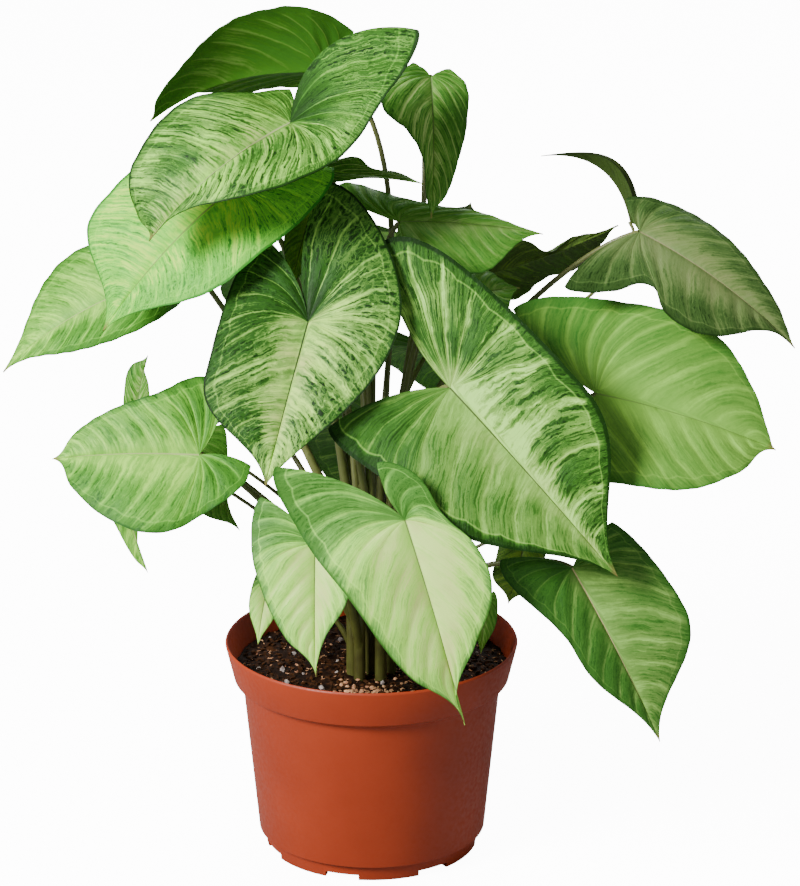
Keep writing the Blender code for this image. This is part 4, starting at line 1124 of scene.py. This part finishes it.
def peat():
    """Damp peat and composted bark: nearly black, matte, with brown fibres."""
    material, tree, shader = new_material("damp peat", roughness=0.85, specular=0.1)
    place_on = add(tree, "TexCoord").outputs["Object"]
    clods = add(tree, "TexNoise", place_on, None, 1 / PEAT_CLOD, 6.0, 0.7)
    browns = ((0.35, "#0E0602"), (0.52, "#1E0F05"), (0.72, "#4E2F1A"))
    feed(shader.inputs["Base Color"], add(tree, "ValToRGB", clods, stops=browns))
    feed(shader.inputs["Normal"], add(tree, "Bump", 0.9, 1.0 * MM, None, clods))
    return material


def soil_height(x, y):
    """A low crown with clods, in waves 15 and 17 mm long and finer ones of 6 and 5 mm."""
    out = hypot(x, y) / RIM_BAND_FOOT_RADIUS
    crown = SOIL_CROWN_HEIGHT + (SOIL_EDGE_HEIGHT - SOIL_CROWN_HEIGHT) * out
    clods = sin(x * 410 + 1.3) * cos(y * 370 + 0.4)
    clods += 0.6 * sin(x * 830 + y * 640)
    clods += 0.5 * cos(y * 1210 - x * 500)
    return crown + CLOD_HEIGHT * clods


def build_soil():
    wall_radius = np.interp(SOIL_EDGE_HEIGHT, [POT_HEIGHT - RIM_BAND + WALL, POT_HEIGHT],
                            [RIM_BAND_FOOT_RADIUS - WALL, RIM_RADIUS - WALL])
    edge = wall_radius - SOIL_EDGE_GAP
    profile = [(edge * (index + 1) / SOIL_RINGS, SOIL_CROWN_HEIGHT) for index in range(SOIL_RINGS)]
    inset = WALL + SOIL_CLEARANCE
    over_floor = WALL + SOIL_CLEARANCE / 2
    profile += [
        (RIM_BAND_FOOT_RADIUS - inset, POT_HEIGHT - RIM_BAND + WALL),
        (NECK_RADIUS - inset, POT_HEIGHT - RIM_BAND - NECK_STEP + WALL),
        (WALL_FOOT_RADIUS - inset, FOOT_HEIGHT + over_floor),
        (FOOT_RADIUS - inset, CHANNEL_HEIGHT + over_floor),
    ]
    soil = turned("soil_bed", profile, SOIL_SIDES)
    for vertex in soil.data.vertices:
        x, y, z = vertex.co
        if z > SOIL_EDGE_HEIGHT:
            vertex.co.z = soil_height(x, y)
    activate(soil)
    bpy.ops.object.shade_smooth_by_angle(angle=SOFT_EDGE_ANGLE)
    soil.data.materials.append(peat())
    finish_piece(soil, "potting_soil", "soil")


def grit(name, colours, roughness):
    """Loose bits in the mix, each a little lighter or darker than the next."""
    material, tree, shader = new_material(name, roughness, specular=0.1)
    place_on = add(tree, "TexCoord").outputs["Object"]
    mottle = add(tree, "TexNoise", place_on, None, 1 / GRIT_MOTTLE, 3.0)
    stops = ((0.35, colours[0]), (0.65, colours[1]))
    feed(shader.inputs["Base Color"], add(tree, "ValToRGB", mottle, stops=stops))
    feed(shader.inputs["Normal"], add(tree, "Bump", 0.5, 0.3 * MM, None, mottle))
    return material


def scatter(name, count, size, shape, material, draw, at=None, spread=None):
    """Many small bits lying in the soil's top, as one piece."""
    bpy.ops.mesh.primitive_ico_sphere_add(subdivisions=1, radius=1)
    seed_bit = bpy.context.object
    bm = bmesh.new()
    for _ in range(count):
        if at:
            x = draw.gauss(at[0], spread)
            y = draw.gauss(at[1], spread)
        else:
            turn = draw.uniform(0, 2 * pi)
            out = MIX_RADIUS * draw.random() ** 0.5
            x, y = cos(turn) * out, sin(turn) * out
        if hypot(x, y) > MIX_RADIUS:
            continue
        grow = size * draw.uniform(0.6, 1.5)
        sizes = [grow * share * draw.uniform(0.7, 1.3) for share in shape]
        turn = Matrix.Rotation(draw.uniform(0, 2 * pi), 4, "Z") @ Matrix.Rotation(draw.gauss(0, 0.45), 4, "X")
        spot = Matrix.Translation((x, y, soil_height(x, y) + grow * shape[2] * 0.5))
        first = len(bm.verts)
        bm.from_mesh(seed_bit.data)
        bm.verts.ensure_lookup_table()
        move = spot @ turn @ Matrix.Diagonal((*sizes, 1))
        for vertex in bm.verts[first:]:
            vertex.co = move @ (vertex.co * draw.uniform(0.75, 1.2))
    mesh = bpy.data.meshes.new(name)
    bm.to_mesh(mesh)
    bm.free()
    bpy.data.objects.remove(seed_bit)
    mesh.materials.append(material)
    finish_piece(new_object(name, mesh), "potting_soil")


def build_mix():
    draw = random.Random(SEED)
    bark = grit("composted pine bark", ("#140903", "#442710"), 0.8)
    light_bark = grit("fresh bark splinters", ("#80503A", "#CC9C74"), 0.75)
    perlite = grit("expanded perlite", ("#6C605C", "#A89C96"), 0.9)
    scatter("bark_chips", 1700, 1.1 * MM, (1.5, 0.8, 0.4), bark, draw)
    scatter("bark_splinters", 500, 0.75 * MM, (1.8, 0.5, 0.35), light_bark, draw)
    scatter("tan_crumbs", 130, 1.0 * MM, (1.2, 0.9, 0.6), light_bark, draw, at=(0.0, -0.044), spread=9 * MM)
    scatter("perlite_grains", 60, 1.3 * MM, (1.0, 0.9, 0.8), perlite, draw)


def add_floor(name, colour, glow, drop):
    bpy.ops.mesh.primitive_plane_add(size=FLOOR_SIZE, location=(0, 0, -drop))
    floor = bpy.context.object
    floor.name = name
    material, _, shader = new_material(f"{name} paint", roughness=0.9)
    shader.inputs["Base Color"].default_value = linear(colour)
    shader.inputs["Emission Color"].default_value = linear("#FFFFFF")
    shader.inputs["Emission Strength"].default_value = glow
    floor.data.materials.append(material)
    return floor


def studio():
    """A bright backdrop that the view sees, a dim floor that the light sees, and soft lamps."""
    backdrop = add_floor("studio_backdrop", "#F4F4F4", FLOOR_GLOW, BACKDROP_DROP)
    for ray in ("diffuse", "glossy", "transmission", "shadow"):
        setattr(backdrop, f"visible_{ray}", False)
    floor = add_floor("studio_floor", "#8C8C8C", 0.0, FLOOR_DROP)
    floor.visible_camera = False
    world = bpy.data.worlds.new("bright room")
    world.use_nodes = True
    room = world.node_tree.nodes["Background"]
    room.inputs["Color"].default_value = linear("#FFFFFF")
    room.inputs["Strength"].default_value = ROOM_LIGHT
    bpy.context.scene.world = world
    for name, (at, size, power) in STUDIO_LIGHTS.items():
        lamp = bpy.data.lights.new(name, "AREA")
        lamp.size = size
        lamp.energy = power
        light = new_object(name, lamp)
        light.location = at
        aim = Vector(LIGHTS_AIM) - Vector(at)
        light.rotation_euler = aim.to_track_quat("-Z", "Y").to_euler()


def camera():
    lens = bpy.data.cameras.new("camera")
    lens.sensor_width = SENSOR_WIDTH
    lens.lens = FOCAL_PIXELS / PICTURE_HEIGHT * SENSOR_WIDTH
    view = new_object("camera", lens)
    view.location = EYE
    view.rotation_euler = Vector(-TO_EYE).to_track_quat("-Z", "Y").to_euler()
    bpy.context.scene.camera = view


def main():
    camera()
    studio()
    build_pot()
    build_soil()
    build_mix()
    blades = {name: build_leaf(name, sizes, index) for index, (name, sizes) in enumerate(LEAVES.items())}
    skin = stalk_skin()
    for letter in CANES:
        own = {name: blades[name] for name, sizes in LEAVES.items() if sizes["shoot"] == letter}
        build_shoot(letter, own, skin)


main()
